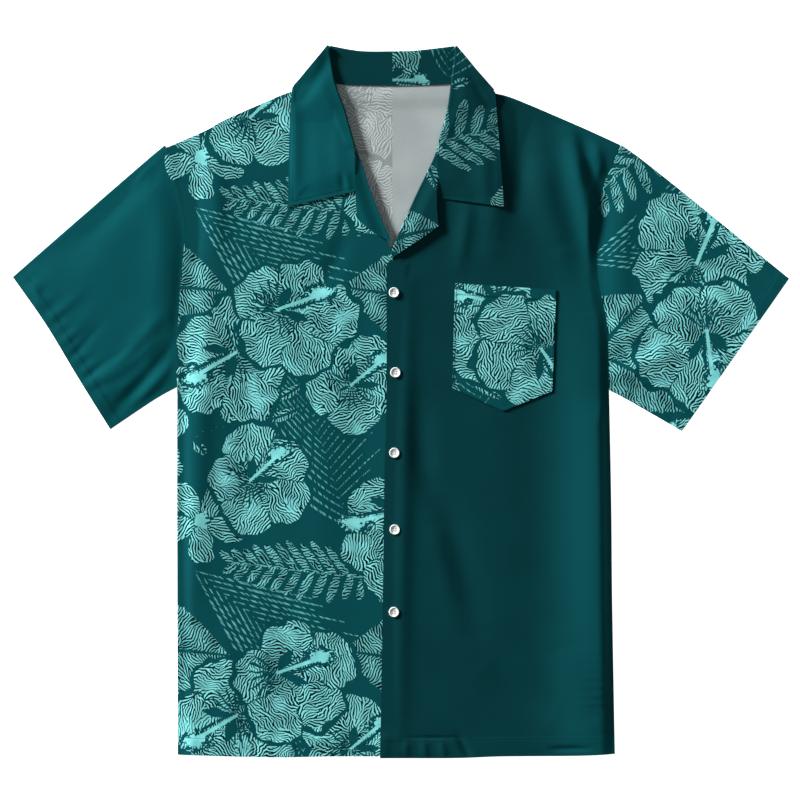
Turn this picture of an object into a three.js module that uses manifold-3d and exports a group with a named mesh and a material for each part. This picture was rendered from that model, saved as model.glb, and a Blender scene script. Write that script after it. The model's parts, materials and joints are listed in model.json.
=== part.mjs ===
// A short-sleeved shirt with a camp collar, buttoned and laid flat on its back.
// Millimetres. +X is the wearer's left, +Y the collar end, and +Z points up from the surface that it lies on.

import * as THREE from 'three';
import { mergeVertices } from 'three/addons/utils/BufferGeometryUtils.js';
import Module from 'manifold-3d';

const wasm = await Module();
wasm.setup();

// Cloth: walls, the gap between layers, and the gap between pieces that meet at a seam
const WALL = 1.0;
const COLLAR_WALL = 1.6;
const GAP = 0.3;
const SEAM = 0.4;

// Bends: the collar's roll, the sleeves' folded edge, and the collar's turn over the shoulder
const ROLL_RADIUS = COLLAR_WALL + GAP / 2;
const FOLD_RADIUS = WALL + GAP / 2;
const CREASE_REACH = 3.0;

// Loft: how far cloth rises off what lies below it, over what distance from its seams, and the share of it
// that is left under the collar, above a height
const LOFT = 1.3;
const LOFT_REACH = 45;
const LOFT_UNDER_COLLAR = 0.4;
const UNDER_COLLAR_Y = 300;
const UNDER_COLLAR_FADE = 60;

// Heights of the stack at the neck: stand behind the neck, stand in front of it, leaf
const STAND_BACK = COLLAR_WALL + GAP;
const STAND_FRONT = STAND_BACK + COLLAR_WALL + GAP;
const LEAF_AT_NECK = STAND_FRONT + COLLAR_WALL + GAP;

// Where the stand and the leaf start to rise towards the neck, over what length, and the leaf's slack there
const STAND_RISE_Y = 300;
const STAND_RISE = 42;
const LEAF_RISE_Y = 285;
const LEAF_RISE = 55;
const LEAF_SLACK = 0.4;

// The front's neck edge: how far in from the seam it is cut, and how it meets the shoulder
const NECK_INSET = SEAM + 0.5;
const NECK_JOIN = 12;
const NECK_DROP = 1;
const STAND_END_DROP = 3;

// The lapel's lip round the front's edge: its reach, its outer and inner profile, and the lapel's narrow end
const LIP = 1.7;
const LIP_KNEE = 0.4;
const LIP_BEND = 0.6;
const LIP_BEND_DROP = 0.15;
const LIP_INSIDE = 0.3;
const LIP_INSIDE_DROP = 0.6;
const LIP_INSIDE_BEND = 0.2;
const LAPEL_END = 0.8;

// Folds keep their height over this share to both sides of their middle, then fade
const FOLD_BODY = 0.35;
const FOLD_FADE = 0.02;

// Segments of each edge. Pieces that meet at a seam share their counts.
const SIDE_STEPS = 8;
const ARM_STEPS = 12;
const BREAK_STEP = 4;
const FRONT_STEPS = 14;
const BACK_NECK_STEPS = 5;
const BACK_SHOULDER_STEPS = 5;
const SLEEVE_STEPS = 9;
const NOSE_STEPS = 4;
const LEAF_STEPS = 6;
const GORGE_STEPS = 3;
const ROLL_STEPS = 6;
const STAND_STEPS = 2;
const LAPEL_STEPS = 8;
const LAPEL_ACROSS = 3;
const POCKET_STEPS = 8;

// Fine steps for measuring: along a curve that is cut between two heights, along a seam, along a shoulder,
// and along the sides of a triangle that comes to rest
const CURVE_STEPS = 400;
const SEAM_STEPS = 60;
const SHOULDER_STEPS = 40;
const REST_STEPS = 8;

// Tolerances: a height's, a triangle's edge, how near triangles count as meeting, and corners that are one
const HEIGHT_SLACK = 0.01;
const EDGE_SLACK = 0.02;
const NEAR = 1;
const SAME = 0.001;

// Buttons
const BUTTON_RADIUS = 5.75;
const BUTTON_HEIGHT = 2.6;
const BUTTON_RIM = 1.3;
const BUTTON_DISH = 0.7;
const BUTTON_FOOT = 0.5;
const BUTTON_WAIST = 0.45;
const BUTTON_BEVEL = 0.3;
const BUTTON_BEVEL_DROP = 0.25;
const BUTTON_DISH_EDGE = 1.6;
const BUTTON_SEGMENTS = 18;
const HOLE_RADIUS = 0.7;
const HOLE_PITCH = 1.35;
const HOLE_SEGMENTS = 6;

// Turns rows of numbers into objects whose fields have the given names.
function table(names, rows) {
  const fields = names.split(' ');
  return rows.map((row) => Object.fromEntries(fields.map((field, i) => [field, row[i]])));
}

// The centre back, and the front edges that overlap under the buttons
const CENTRE_BACK = -9.4;
const LEFT_EDGE = table('x y', [
  [-23.0, -391.8],
  [-20.1, -222.8],
  [-18.2, -82.0],
  [-16.0, 1.6],
  [-16.0, 152.0],
]);
const RIGHT_EDGE = table('x y', [
  [-2.5, -390.0],
  [4.5, -82.0],
  [4.5, 148.0],
]);

// Outlines of each half. The roll line runs up the front to the collar's top corner, and to_neck is how far
// the neck seam lies from it.
const SIDES = {
  right: {
    sign: -1,
    hem: table('x y', [
      [-2.5, -390.0],
      [-76.3, -390.0],
      [-132.4, -391.0],
      [-188.5, -390.0],
      [-245.5, -388.3],
    ]),
    side_seam: table('x y', [
      [-245.5, -388.3],
      [-246.2, -120.0],
      [-246.1, 16.0],
    ]),
    armhole: table('x y', [
      [-246.1, 16.0],
      [-247.0, 54.5],
      [-242.4, 129.3],
      [-238.2, 188.7],
      [-247.5, 229.4],
      [-259.0, 257.0],
      [-258.5, 278.9],
    ]),
    shoulder: table('x y', [
      [-86.9, 359.2],
      [-115.5, 343.0],
      [-136.0, 335.0],
      [-193.6, 309.7],
      [-214.5, 298.1],
      [-258.5, 278.9],
    ]),
    back_neck: table('x y', [
      [CENTRE_BACK, 347.1],
      [-40.0, 347.6],
      [-71.2, 349.4],
      [-86.9, 359.2],
    ]),
    roll: table('x y to_neck', [
      [4.5, 148.0, 2.2],
      [-9.9, 170.5, 2.2],
      [-28.6, 216.2, 2.2],
      [-40.0, 252.0, 2.3],
      [-51.0, 284.0, 3.2],
      [-61.6, 320.7, 9.0],
      [-72.5, 352.0, 15.0],
      [-79.5, 391.6, 33.0],
    ]),
    gorge_top: 284.0,
    notch: { x: -50.6, y: 231.0 },
    tip: { x: -124.3, y: 214.0 },
    outer: table('x y', [
      [-124.3, 214.0],
      [-122.1, 309.7],
      [-119.4, 345.4],
    ]),
    crease_end: { x: -118.4, y: 347.2 },
    top_edge: table('x y', [
      [CENTRE_BACK, 385.2],
      [-45.1, 385.6],
      [-79.5, 391.6],
    ]),
    fall: table('x y', [
      [CENTRE_BACK, 329.0],
      [-70.0, 334.0],
      [-118.4, 347.2],
    ]),
    lapel_outer: table('x y', [
      [-49.6, 279.0],
      [-50.2, 231.0],
      [-48.0, 200.1],
    ]),
    lapel_lower: table('x y', [
      [-9.0, 174.5],
      [-28.6, 184.5],
      [-48.0, 200.1],
    ]),
    lapel_end: 174.5,
    sleeve_top: table('x y', [
      [-259.5, 278.9],
      [-268.5, 274.8],
      [-358.6, 196.9],
      [-427.0, 137.0],
    ]),
    cuff: table('x y', [
      [-319.6, -30.6],
      [-355.3, 27.0],
      [-390.5, 85.3],
      [-427.0, 137.0],
    ]),
    underarm: table('x y', [
      [-246.6, 15.6],
      [-271.4, 1.7],
      [-319.6, -30.6],
    ]),
  },
  left: {
    sign: 1,
    hem: table('x y', [
      [-23.0, -391.8],
      [60.5, -391.8],
      [111.1, -390.0],
      [195.4, -389.3],
      [235.2, -387.5],
    ]),
    side_seam: table('x y', [
      [235.2, -387.5],
      [232.3, -222.8],
      [231.2, -110.6],
      [228.8, 12.7],
    ]),
    armhole: table('x y', [
      [228.8, 12.7],
      [226.6, 84.2],
      [216.8, 135.9],
      [216.2, 190.0],
      [222.2, 234.9],
      [231.0, 256.9],
      [241.5, 282.0],
    ]),
    shoulder: table('x y', [
      [68.2, 357.0],
      [99.5, 340.3],
      [126.0, 332.5],
      [196.9, 302.3],
      [241.5, 282.0],
    ]),
    back_neck: table('x y', [
      [CENTRE_BACK, 347.1],
      [25.0, 347.8],
      [54.7, 349.7],
      [68.2, 357.0],
    ]),
    roll: table('x y to_neck', [
      [-11.4, 156.2, 2.2],
      [-8.8, 170.0, 2.2],
      [15.0, 223.9, 2.2],
      [36.0, 267.9, 2.3],
      [41.5, 287.0, 3.2],
      [50.6, 320.7, 9.0],
      [55.0, 352.0, 13.5],
      [60.0, 391.1, 33.0],
    ]),
    gorge_top: 287.0,
    notch: { x: 39.6, y: 223.9 },
    tip: { x: 112.8, y: 214.0 },
    outer: table('x y', [
      [112.8, 214.0],
      [110.4, 250.3],
      [103.4, 340.5],
    ]),
    crease_end: { x: 102.6, y: 342.8 },
    top_edge: table('x y', [
      [CENTRE_BACK, 385.2],
      [20.0, 386.4],
      [60.0, 391.1],
    ]),
    fall: table('x y', [
      [CENTRE_BACK, 329.0],
      [50.0, 332.0],
      [102.6, 342.8],
    ]),
    lapel_outer: table('x y', [
      [41.3, 282.0],
      [39.2, 223.9],
      [40.9, 192.5],
    ]),
    lapel_lower: table('x y', [
      [-10.0, 157.5],
      [6.9, 169.0],
      [25.9, 181.4],
      [40.9, 192.5],
    ]),
    lapel_end: 157.5,
    sleeve_top: table('x y', [
      [242.6, 282.0],
      [262.5, 267.9],
      [317.9, 223.9],
      [426.8, 135.2],
    ]),
    cuff: table('x y', [
      [309.0, -32.6],
      [426.8, 135.2],
    ]),
    underarm: table('x y', [
      [229.3, 12.3],
      [249.5, 1.7],
      [309.0, -32.6],
    ]),
  },
};

const POCKET = {
  top_left: { x: 59.3, y: 130.0 },
  top_right: { x: 170.5, y: 122.7 },
  low_right: { x: 166.1, y: 11.6 },
  point: { x: 112.2, y: -10.5 },
  low_left: { x: 56.4, y: 14.9 },
};

const BUTTONS = table('x y', [
  [-7.7, 119.7],
  [-6.1, 31.9],
  [-7.2, -56.4],
  [-6.8, -140.7],
  [-7.7, -231.3],
]);

// Main folds. Each runs from one point to another, with its half width and its height; troughs are negative.
const FRONT_FOLDS = table('x1 y1 x2 y2 width height', [
  [165, 284, 196, 161, 14, -1.0],
  [190, 295, 212, 134, 10, 1.1],
  [150, 285, 142, 225, 12, 0.8],
  [60, 214, 60, 172, 7, 1.0],
  [198, 110, 198, -270, 9, 1.2],
  [219, 20, 222, -380, 10, -1.0],
  [70, -110, 0, -250, 16, 0.5],
  [62, -60, 66, -380, 22, -0.8],
  [-150, 180, -110, 20, 26, 0.6],
  [-215, 120, -225, -200, 12, 0.7],
]);
const SLEEVE_FOLDS = table('x1 y1 x2 y2 width height', [
  [-275, 215, -262, 40, 16, 1.0],
  [-360, 180, -330, 120, 22, -0.6],
  [-262, 60, -315, 0, 8, -0.8],
  [-250, 30, -300, 70, 9, 0.7],
  [250, 225, 240, 60, 14, 0.9],
  [235, 30, 300, 50, 10, 0.8],
  [300, 190, 330, 90, 20, -0.5],
]);

// Plane curves

function point(row) {
  return new THREE.Vector2(row.x, row.y);
}

// Evenly spaced points on a smooth curve through the rows
function spaced(rows, steps) {
  return new THREE.SplineCurve(rows.map(point)).getSpacedPoints(steps);
}

// Points on a smooth curve through the rows, between two heights
function spacedBetween(rows, low, high, steps) {
  const fine = new THREE.SplineCurve(rows.map(point)).getSpacedPoints(CURVE_STEPS);
  const inside = fine.filter((p) => p.y >= low - HEIGHT_SLACK && p.y <= high + HEIGHT_SLACK);
  return new THREE.SplineCurve(inside).getSpacedPoints(steps);
}

function straight(a, b, steps) {
  return spaced([a, b], steps);
}

// Joins lists of points that share their end points.
function joined(...lists) {
  return lists.flatMap((list, i) => (i === 0 ? list : list.slice(1)));
}

// Moves each point sideways, to the left of the direction of travel.
function offset(points, distance) {
  return points.map((p, i) => {
    const before = points[Math.max(i - 1, 0)];
    const after = points[Math.min(i + 1, points.length - 1)];
    const along = after.clone().sub(before).normalize();
    return new THREE.Vector2(p.x - along.y * distance, p.y + along.x * distance);
  });
}

// Sheets: rows of points, first index along the left edge, second index along the bottom edge

// Fills four edges that meet at their corners.
function patch(bottom, top, left, right) {
  const columns = bottom.length - 1;
  const rows = left.length - 1;
  return left.map((start, j) => bottom.map((base, i) => {
    const u = i / columns;
    const v = j / rows;
    const across = start.clone().multiplyScalar(1 - u).addScaledVector(right[j], u);
    const up = base.clone().multiplyScalar(1 - v).addScaledVector(top[i], v);
    const low = bottom[0].clone().multiplyScalar(1 - u).addScaledVector(bottom[columns], u);
    const high = top[0].clone().multiplyScalar(1 - u).addScaledVector(top[columns], u);
    const corners = low.multiplyScalar(1 - v).addScaledVector(high, v);
    return across.add(up).sub(corners);
  }));
}

// Gives each plane point of a sheet its height, by a function of x and y.
function raised(sheet, height) {
  return sheet.map((row) => row.map((p) => new THREE.Vector3(p.x, p.y, height(p.x, p.y))));
}

function lifted(sheet, distance) {
  return sheet.map((row) => row.map((p) => new THREE.Vector3(p.x, p.y, p.z + distance)));
}

// The two triangles of each cell, as index pairs
const CELL = [
  [[0, 0], [0, 1], [1, 1]],
  [[0, 0], [1, 1], [1, 0]],
];

function triangles(sheet) {
  const list = [];
  for (let j = 0; j < sheet.length - 1; j += 1) {
    for (let i = 0; i < sheet[0].length - 1; i += 1) {
      CELL.forEach((cell) => list.push(cell.map(([dj, di]) => sheet[j + dj][i + di])));
    }
  }
  return list;
}

// Height of a triangle over a plane point, or nothing beside it
function heightOver(triangle, x, y) {
  const [a, b, c] = triangle;
  const area = (b.x - a.x) * (c.y - a.y) - (c.x - a.x) * (b.y - a.y);
  const s = ((x - a.x) * (c.y - a.y) - (c.x - a.x) * (y - a.y)) / area;
  const t = ((b.x - a.x) * (y - a.y) - (x - a.x) * (b.y - a.y)) / area;
  if (!(s >= -EDGE_SLACK && t >= -EDGE_SLACK && s + t <= 1 + EDGE_SLACK)) return null;
  return a.z + s * (b.z - a.z) + t * (c.z - a.z);
}

// Raises the points of a sheet's underside until it clears the triangles below it by the gap.
function restOn(sheet, below) {
  const raise = new Map();
  triangles(sheet).forEach((triangle) => {
    const xs = triangle.map((p) => p.x);
    const ys = triangle.map((p) => p.y);
    const near = below.filter((t) => (
      Math.min(t[0].x, t[1].x, t[2].x) <= Math.max(...xs) + NEAR
      && Math.max(t[0].x, t[1].x, t[2].x) >= Math.min(...xs) - NEAR
      && Math.min(t[0].y, t[1].y, t[2].y) <= Math.max(...ys) + NEAR
      && Math.max(t[0].y, t[1].y, t[2].y) >= Math.min(...ys) - NEAR
    ));
    let lack = 0;
    for (let m = 0; m <= REST_STEPS; m += 1) {
      for (let n = 0; n <= REST_STEPS - m; n += 1) {
        const s = m / REST_STEPS;
        const t = n / REST_STEPS;
        const [a, b, c] = triangle;
        const x = a.x + s * (b.x - a.x) + t * (c.x - a.x);
        const y = a.y + s * (b.y - a.y) + t * (c.y - a.y);
        const z = a.z + s * (b.z - a.z) + t * (c.z - a.z);
        near.forEach((other) => {
          const height = heightOver(other, x, y);
          if (height !== null) lack = Math.max(lack, height + GAP - z);
        });
      }
    }
    triangle.forEach((p) => raise.set(p, Math.max(raise.get(p) ?? 0, lack)));
  });
  raise.forEach((distance, p) => { p.z += distance; });
  return sheet;
}

// Solids

// Faces of a sheet with an outer and an inner side, each with four corners
function sheetFaces(outer, inner) {
  const rows = outer.length - 1;
  const columns = outer[0].length - 1;
  const list = [];
  for (let j = 0; j < rows; j += 1) {
    for (let i = 0; i < columns; i += 1) {
      list.push([outer[j][i], outer[j][i + 1], outer[j + 1][i + 1], outer[j + 1][i]]);
      list.push([inner[j + 1][i + 1], inner[j][i + 1], inner[j][i], inner[j + 1][i]]);
    }
  }
  for (let i = 0; i < columns; i += 1) {
    list.push([outer[0][i + 1], outer[0][i], inner[0][i], inner[0][i + 1]]);
    list.push([outer[rows][i], outer[rows][i + 1], inner[rows][i + 1], inner[rows][i]]);
  }
  for (let j = 0; j < rows; j += 1) {
    list.push([outer[j][0], outer[j + 1][0], inner[j + 1][0], inner[j][0]]);
    list.push([outer[j + 1][columns], outer[j][columns], inner[j][columns], inner[j + 1][columns]]);
  }
  return volume(list) < 0 ? list.map(([a, b, c, d]) => [a, d, c, b]) : list;
}

function cornerKey(p) {
  return [p.x, p.y, p.z].map((value) => Math.round(value / SAME)).join(' ');
}

// Drops the faces where two sheets of one cloth meet, which leaves one closed skin.
function welded(faces) {
  const open = new Map();
  faces.forEach((face) => {
    const name = face.map(cornerKey).sort().join('|');
    if (open.has(name)) open.delete(name);
    else open.set(name, face);
  });
  return [...open.values()];
}

// A face with corners 0 to 3 is cut from corner 0 to corner 2.
function cut(faces) {
  return faces.flatMap(([a, b, c, d]) => [[a, b, c], [a, c, d]]);
}

function volume(faces) {
  return cut(faces).reduce((sum, [a, b, c]) => sum + a.clone().cross(b).dot(c) / 6, 0);
}

function geometryOf(faces) {
  const solid = cut(faces).filter((triangle) => new Set(triangle.map(cornerKey)).size === 3);
  const geometry = new THREE.BufferGeometry();
  const values = solid.flatMap((triangle) => triangle.flatMap((p) => p.toArray()));
  geometry.setAttribute('position', new THREE.Float32BufferAttribute(values, 3));
  return mergeVertices(geometry, SAME);
}

function sheetSolid(under, thickness) {
  return geometryOf(sheetFaces(lifted(under, thickness), under));
}

// Panels

function armhole(side) {
  return spaced(side.armhole, ARM_STEPS);
}

function rollAt(side, low, high, steps) {
  return spacedBetween(side.roll, low, high, steps);
}

// How far the neck seam lies from the roll line at a height
function toNeck(side, y) {
  const rows = side.roll;
  const next = Math.max(1, rows.findIndex((row) => row.y >= y - HEIGHT_SLACK));
  const a = rows[next - 1];
  const b = rows[next];
  return THREE.MathUtils.lerp(a.to_neck, b.to_neck, THREE.MathUtils.clamp((y - a.y) / (b.y - a.y), 0, 1));
}

function shoulderNeck(side) {
  return side.shoulder[0];
}

// The front's neck edge, from the break up to the shoulder, set in from the roll line
function neckEdge(side, steps) {
  const end = shoulderNeck(side);
  const curve = rollAt(side, side.roll[0].y, end.y - NECK_JOIN, SEAM_STEPS).map((p) => (
    { x: p.x + side.sign * (toNeck(side, p.y) + NECK_INSET), y: p.y }
  ));
  curve.push({ x: end.x + side.sign * NECK_INSET, y: end.y - NECK_DROP });
  return spaced(curve, steps);
}

function frontPlan(side, edge) {
  const neck = neckEdge(side, ARM_STEPS - BREAK_STEP);
  const arm = armhole(side);
  const level = arm[0].y;
  const low = spacedBetween(edge, edge[0].y, level, SIDE_STEPS);
  const high = spacedBetween(edge, level, edge[edge.length - 1].y, BREAK_STEP);
  high[BREAK_STEP].copy(neck[0]);
  const seam = spaced(side.side_seam, SIDE_STEPS);
  const shoulder = spaced(side.shoulder, FRONT_STEPS);
  shoulder[0].copy(neck[neck.length - 1]);
  const hem = spaced(side.hem, FRONT_STEPS);
  hem[0].copy(low[0]);
  return patch(hem, shoulder, joined(low, high, neck), joined(seam, arm));
}

function backPlan(side) {
  const arm = armhole(side);
  const centre = joined(
    straight({ x: CENTRE_BACK, y: side.hem[0].y }, { x: CENTRE_BACK, y: arm[0].y }, SIDE_STEPS),
    straight({ x: CENTRE_BACK, y: arm[0].y }, side.back_neck[0], ARM_STEPS),
  ).map((p) => new THREE.Vector2(p.x + side.sign * SEAM / 2, p.y));
  const top = joined(
    spaced(side.back_neck, BACK_NECK_STEPS),
    spaced(side.shoulder, BACK_SHOULDER_STEPS),
  );
  top[0].copy(centre[centre.length - 1]);
  const outerHem = spaced(side.hem, SEAM_STEPS).filter((p) => side.sign * (p.x - CENTRE_BACK) > 0);
  const hem = spaced([centre[0], ...outerHem], top.length - 1);
  return patch(hem, top, centre, joined(spaced(side.side_seam, SIDE_STEPS), arm));
}

function fade(distance, reach) {
  return THREE.MathUtils.smoothstep(distance, 0, reach);
}

// Height that the folds add at a point
function foldHeight(folds, x, y) {
  return folds.reduce((sum, fold) => {
    const along = new THREE.Vector2(fold.x2 - fold.x1, fold.y2 - fold.y1);
    const from = new THREE.Vector2(x - fold.x1, y - fold.y1);
    const length = along.length();
    const t = from.dot(along) / (length * length);
    const away = Math.abs(from.cross(along)) / length;
    const ends = Math.exp(-(Math.max(0, Math.abs(t - 0.5) - FOLD_BODY) ** 2) / FOLD_FADE);
    return sum + fold.height * ends * Math.exp(-((away / fold.width) ** 2));
  }, 0);
}

function distanceTo(points, x, y) {
  return Math.min(...points.map((p) => Math.hypot(p.x - x, p.y - y)));
}

// Underside of a front: it lies on the back, lifts off it away from the seams, and carries the folds.
function frontHeight(side) {
  const seams = [
    ...spaced(side.side_seam, SEAM_STEPS),
    ...spaced(side.armhole, SEAM_STEPS),
    ...spaced(side.shoulder, SHOULDER_STEPS),
  ];
  return (x, y) => {
    const inside = fade(distanceTo(seams, x, y), LOFT_REACH);
    const belowCollar = fade(UNDER_COLLAR_Y - y, UNDER_COLLAR_FADE);
    const lift = LOFT * THREE.MathUtils.lerp(LOFT_UNDER_COLLAR, 1, belowCollar) * inside;
    return WALL + GAP + Math.max(0, lift + inside * belowCollar * foldHeight(FRONT_FOLDS, x, y));
  };
}

// Sleeves

// One cloth folded along the sleeve's top edge, from the underarm of the lower layer to that of the upper one
function sleeve(side) {
  const seam = offset(armhole(side), -side.sign * SEAM);
  const top = offset(spaced(side.sleeve_top, SLEEVE_STEPS), -side.sign * FOLD_RADIUS);
  const under = spaced(side.underarm, SLEEVE_STEPS);
  seam[ARM_STEPS].copy(top[0]);
  under[0].copy(seam[0]);
  const cuff = spaced(side.cuff, ARM_STEPS);
  cuff[ARM_STEPS].copy(top[SLEEVE_STEPS]);
  const plan = patch(seam, cuff, under, top);
  const edges = [...seam, ...top, ...under];
  const upper = raised(plan, (x, y) => {
    const inside = fade(distanceTo(edges, x, y), LOFT_REACH);
    return WALL + GAP + inside * Math.max(0, LOFT + foldHeight(SLEEVE_FOLDS, x, y));
  });
  const outer = [];
  const inner = [];
  upper.forEach((row, j) => {
    const fold = row[ARM_STEPS];
    const next = plan[Math.min(j + 1, SLEEVE_STEPS)][ARM_STEPS];
    const last = plan[Math.max(j - 1, 0)][ARM_STEPS];
    const along = next.clone().sub(last).normalize();
    const out = new THREE.Vector2(-along.y, along.x).multiplyScalar(side.sign);
    const lower = row.map((p) => new THREE.Vector3(p.x, p.y, 0));
    const nose = (radius, half, middle) => (
      Array.from({ length: NOSE_STEPS - 1 }, (_, k) => {
        const angle = -Math.PI / 2 + Math.PI * (k + 1) / NOSE_STEPS;
        const reach = radius * Math.cos(angle);
        const height = middle + half * Math.sin(angle);
        return new THREE.Vector3(fold.x + out.x * reach, fold.y + out.y * reach, height);
      })
    );
    const middle = (fold.z + WALL) / 2;
    outer.push([
      ...lower,
      ...nose(FOLD_RADIUS, middle, middle),
      ...row.map((p) => new THREE.Vector3(p.x, p.y, p.z + WALL)).reverse(),
    ]);
    inner.push([
      ...lower.map((p) => new THREE.Vector3(p.x, p.y, WALL)),
      ...nose(GAP / 2, (fold.z - WALL) / 2, middle),
      ...[...row].reverse(),
    ]);
  });
  return geometryOf(sheetFaces(outer, inner));
}

// Collar

// Bends round a fold from a top point to a bottom point, which share their place in plan.
function turn(top, bottom, out, reach) {
  const middle = (top.z + bottom.z) / 2;
  const half = (top.z - bottom.z) / 2;
  return Array.from({ length: NOSE_STEPS - 1 }, (_, k) => {
    const angle = Math.PI / 2 - Math.PI * (k + 1) / NOSE_STEPS;
    const away = reach * Math.cos(angle);
    return new THREE.Vector3(top.x + out.x * away, top.y + out.y * away, middle + half * Math.sin(angle));
  });
}

// The part of the collar behind the neck: its stand faces up and its fall lies under the back.
function backCollarPlan(side) {
  const roll = spaced(side.top_edge, BACK_NECK_STEPS);
  roll[0].x += side.sign * SEAM / 2;
  const neck = offset(spaced(side.back_neck, BACK_NECK_STEPS), side.sign * SEAM);
  neck[0].x = roll[0].x;
  const fall = spaced(side.fall, BACK_NECK_STEPS);
  fall[0].x = roll[0].x;
  const last = BACK_NECK_STEPS;
  const crease = creasePoints(side);
  fall[last].copy(crease[0]);
  const folds = roll.map((p, i) => {
    const toFall = fall[i].clone().sub(p).normalize();
    return p.clone().addScaledVector(toFall, ROLL_RADIUS);
  });
  folds[last].copy(crease[LEAF_STEPS]);
  return { neck, folds, fall, roll };
}

// Points of the crease over the shoulder, from the collar's outer edge up to its top corner, set in by the bend
function creaseOut(side) {
  const corner = side.roll[side.roll.length - 1];
  const along = point(side.crease_end).sub(point(corner)).normalize();
  return new THREE.Vector2(-along.y, along.x).multiplyScalar(side.sign);
}

function creasePoints(side) {
  const corner = point(side.roll[side.roll.length - 1]);
  const end = point(side.crease_end);
  const along = end.clone().sub(corner).normalize();
  const out = creaseOut(side);
  const top = corner.addScaledVector(out, -CREASE_REACH).addScaledVector(along, ROLL_RADIUS);
  const low = end.addScaledVector(out, -CREASE_REACH);
  return straight(low, top, LEAF_STEPS);
}

function between(a, b, steps) {
  return Array.from({ length: steps + 1 }, (_, k) => a.clone().lerp(b, k / steps));
}

function backCollarRows(side) {
  const plan = backCollarPlan(side);
  const outer = [];
  const inner = [];
  plan.folds.forEach((fold, i) => {
    const out = plan.roll[i].clone().sub(fold).normalize();
    const at = (p, z) => new THREE.Vector3(p.x, p.y, z);
    const stand = between(plan.neck[i], fold, STAND_STEPS);
    const fall = i === BACK_NECK_STEPS ? creasePoints(side).reverse() : between(fold, plan.fall[i], LEAF_STEPS);
    const top = STAND_BACK + COLLAR_WALL;
    outer.push([
      ...stand.map((p) => at(p, top)),
      ...turn(at(fold, top), at(fold, 0), out, ROLL_RADIUS),
      ...fall.map((p) => at(p, 0)),
    ]);
    inner.push([
      ...stand.map((p) => at(p, STAND_BACK)),
      ...turn(at(fold, STAND_BACK), at(fold, COLLAR_WALL), out, GAP / 2),
      ...fall.map((p) => at(p, COLLAR_WALL)),
    ]);
  });
  return { outer, inner };
}

// The leaf that shows on the front. Its rows run from the tip's edge up to the crease.
function leafPlan(side) {
  const crease = creasePoints(side);
  const gorgeTop = side.gorge_top;
  const corner = side.roll[side.roll.length - 1];
  const roll = rollAt(side, gorgeTop, corner.y, ROLL_STEPS);
  const folds = roll.map((p) => new THREE.Vector2(p.x + side.sign * ROLL_RADIUS, p.y));
  folds[ROLL_STEPS].copy(crease[LEAF_STEPS]);
  const notch = new THREE.Vector2(side.notch.x + side.sign * SEAM, side.notch.y);
  const gorge = straight(notch, folds[0], GORGE_STEPS);
  const inner = joined(gorge, folds);
  const outer = spaced(side.outer, inner.length - 1);
  outer[outer.length - 1].copy(crease[0]);
  const bottom = straight(outer[0], notch, LEAF_STEPS);
  return { plan: patch(bottom, crease, outer, inner), roll, folds };
}

function frontCollar(side, below) {
  const { plan, roll, folds } = leafPlan(side);
  const standHeight = (y) => {
    const rise = fade(y - STAND_RISE_Y, STAND_RISE);
    return THREE.MathUtils.lerp(WALL + GAP, STAND_FRONT, rise);
  };
  const end = shoulderNeck(side);
  const stand = folds.map((fold, i) => {
    const neck = new THREE.Vector2(roll[i].x + side.sign * toNeck(side, roll[i].y), roll[i].y);
    if (i === ROLL_STEPS) neck.set(end.x, end.y);
    if (i === ROLL_STEPS - 1) neck.set((neck.x + end.x) / 2, Math.min(neck.y, end.y) - STAND_END_DROP);
    return between(fold, neck, STAND_STEPS);
  });
  const standSheet = restOn(raised(stand, (x, y) => standHeight(y)), below);
  const standTop = triangles(lifted(standSheet, COLLAR_WALL));
  const leaf = raised(plan, (x, y) => {
    const rise = fade(y - LEAF_RISE_Y, LEAF_RISE);
    return THREE.MathUtils.lerp(WALL + GAP, LEAF_AT_NECK - LEAF_SLACK, rise);
  });
  restOn(leaf, [...below, ...standTop]);
  const last = leaf.length - 1;
  const outer = [];
  const inner = [];
  folds.forEach((fold, i) => {
    const row = leaf[GORGE_STEPS + i];
    const start = row[LEAF_STEPS];
    const out = i === ROLL_STEPS
      ? point(side.roll[side.roll.length - 1]).sub(point(side.crease_end)).normalize()
      : new THREE.Vector2(-side.sign, 0);
    const high = start.clone().setZ(start.z + COLLAR_WALL);
    const low = standSheet[i][0];
    const lowInner = low.clone().setZ(low.z + COLLAR_WALL);
    outer.push([high, ...turn(high, low, out, ROLL_RADIUS), ...standSheet[i]]);
    inner.push([
      start,
      ...turn(start, lowInner, out, GAP / 2),
      ...standSheet[i].map((p) => p.clone().setZ(p.z + COLLAR_WALL)),
    ]);
  });
  return { leaf, last, outer, inner };
}

// Bends the collar over the shoulder, from the leaf's last row to the fall's last row.
function overShoulder(side, leafRow, fallRow) {
  const out = creaseOut(side);
  const outer = leafRow.map((p, j) => {
    const top = p.clone().setZ(p.z + COLLAR_WALL);
    const low = fallRow[j].clone().setZ(0);
    return [top, ...turn(top, low, out, CREASE_REACH), low];
  });
  const inner = leafRow.map((p, j) => {
    const low = fallRow[j].clone().setZ(COLLAR_WALL);
    return [p, ...turn(p, low, out, CREASE_REACH - COLLAR_WALL), low];
  });
  return sheetFaces(outer, inner);
}

function collar(side, back, front) {
  const fallRow = creasePoints(side).map((p) => new THREE.Vector3(p.x, p.y, 0));
  const lists = [
    sheetFaces(back.outer, back.inner),
    sheetFaces(lifted(front.leaf, COLLAR_WALL), front.leaf),
    sheetFaces(front.outer, front.inner),
    overShoulder(side, front.leaf[front.last], fallRow),
  ];
  return geometryOf(welded(lists.flat()));
}

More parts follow.
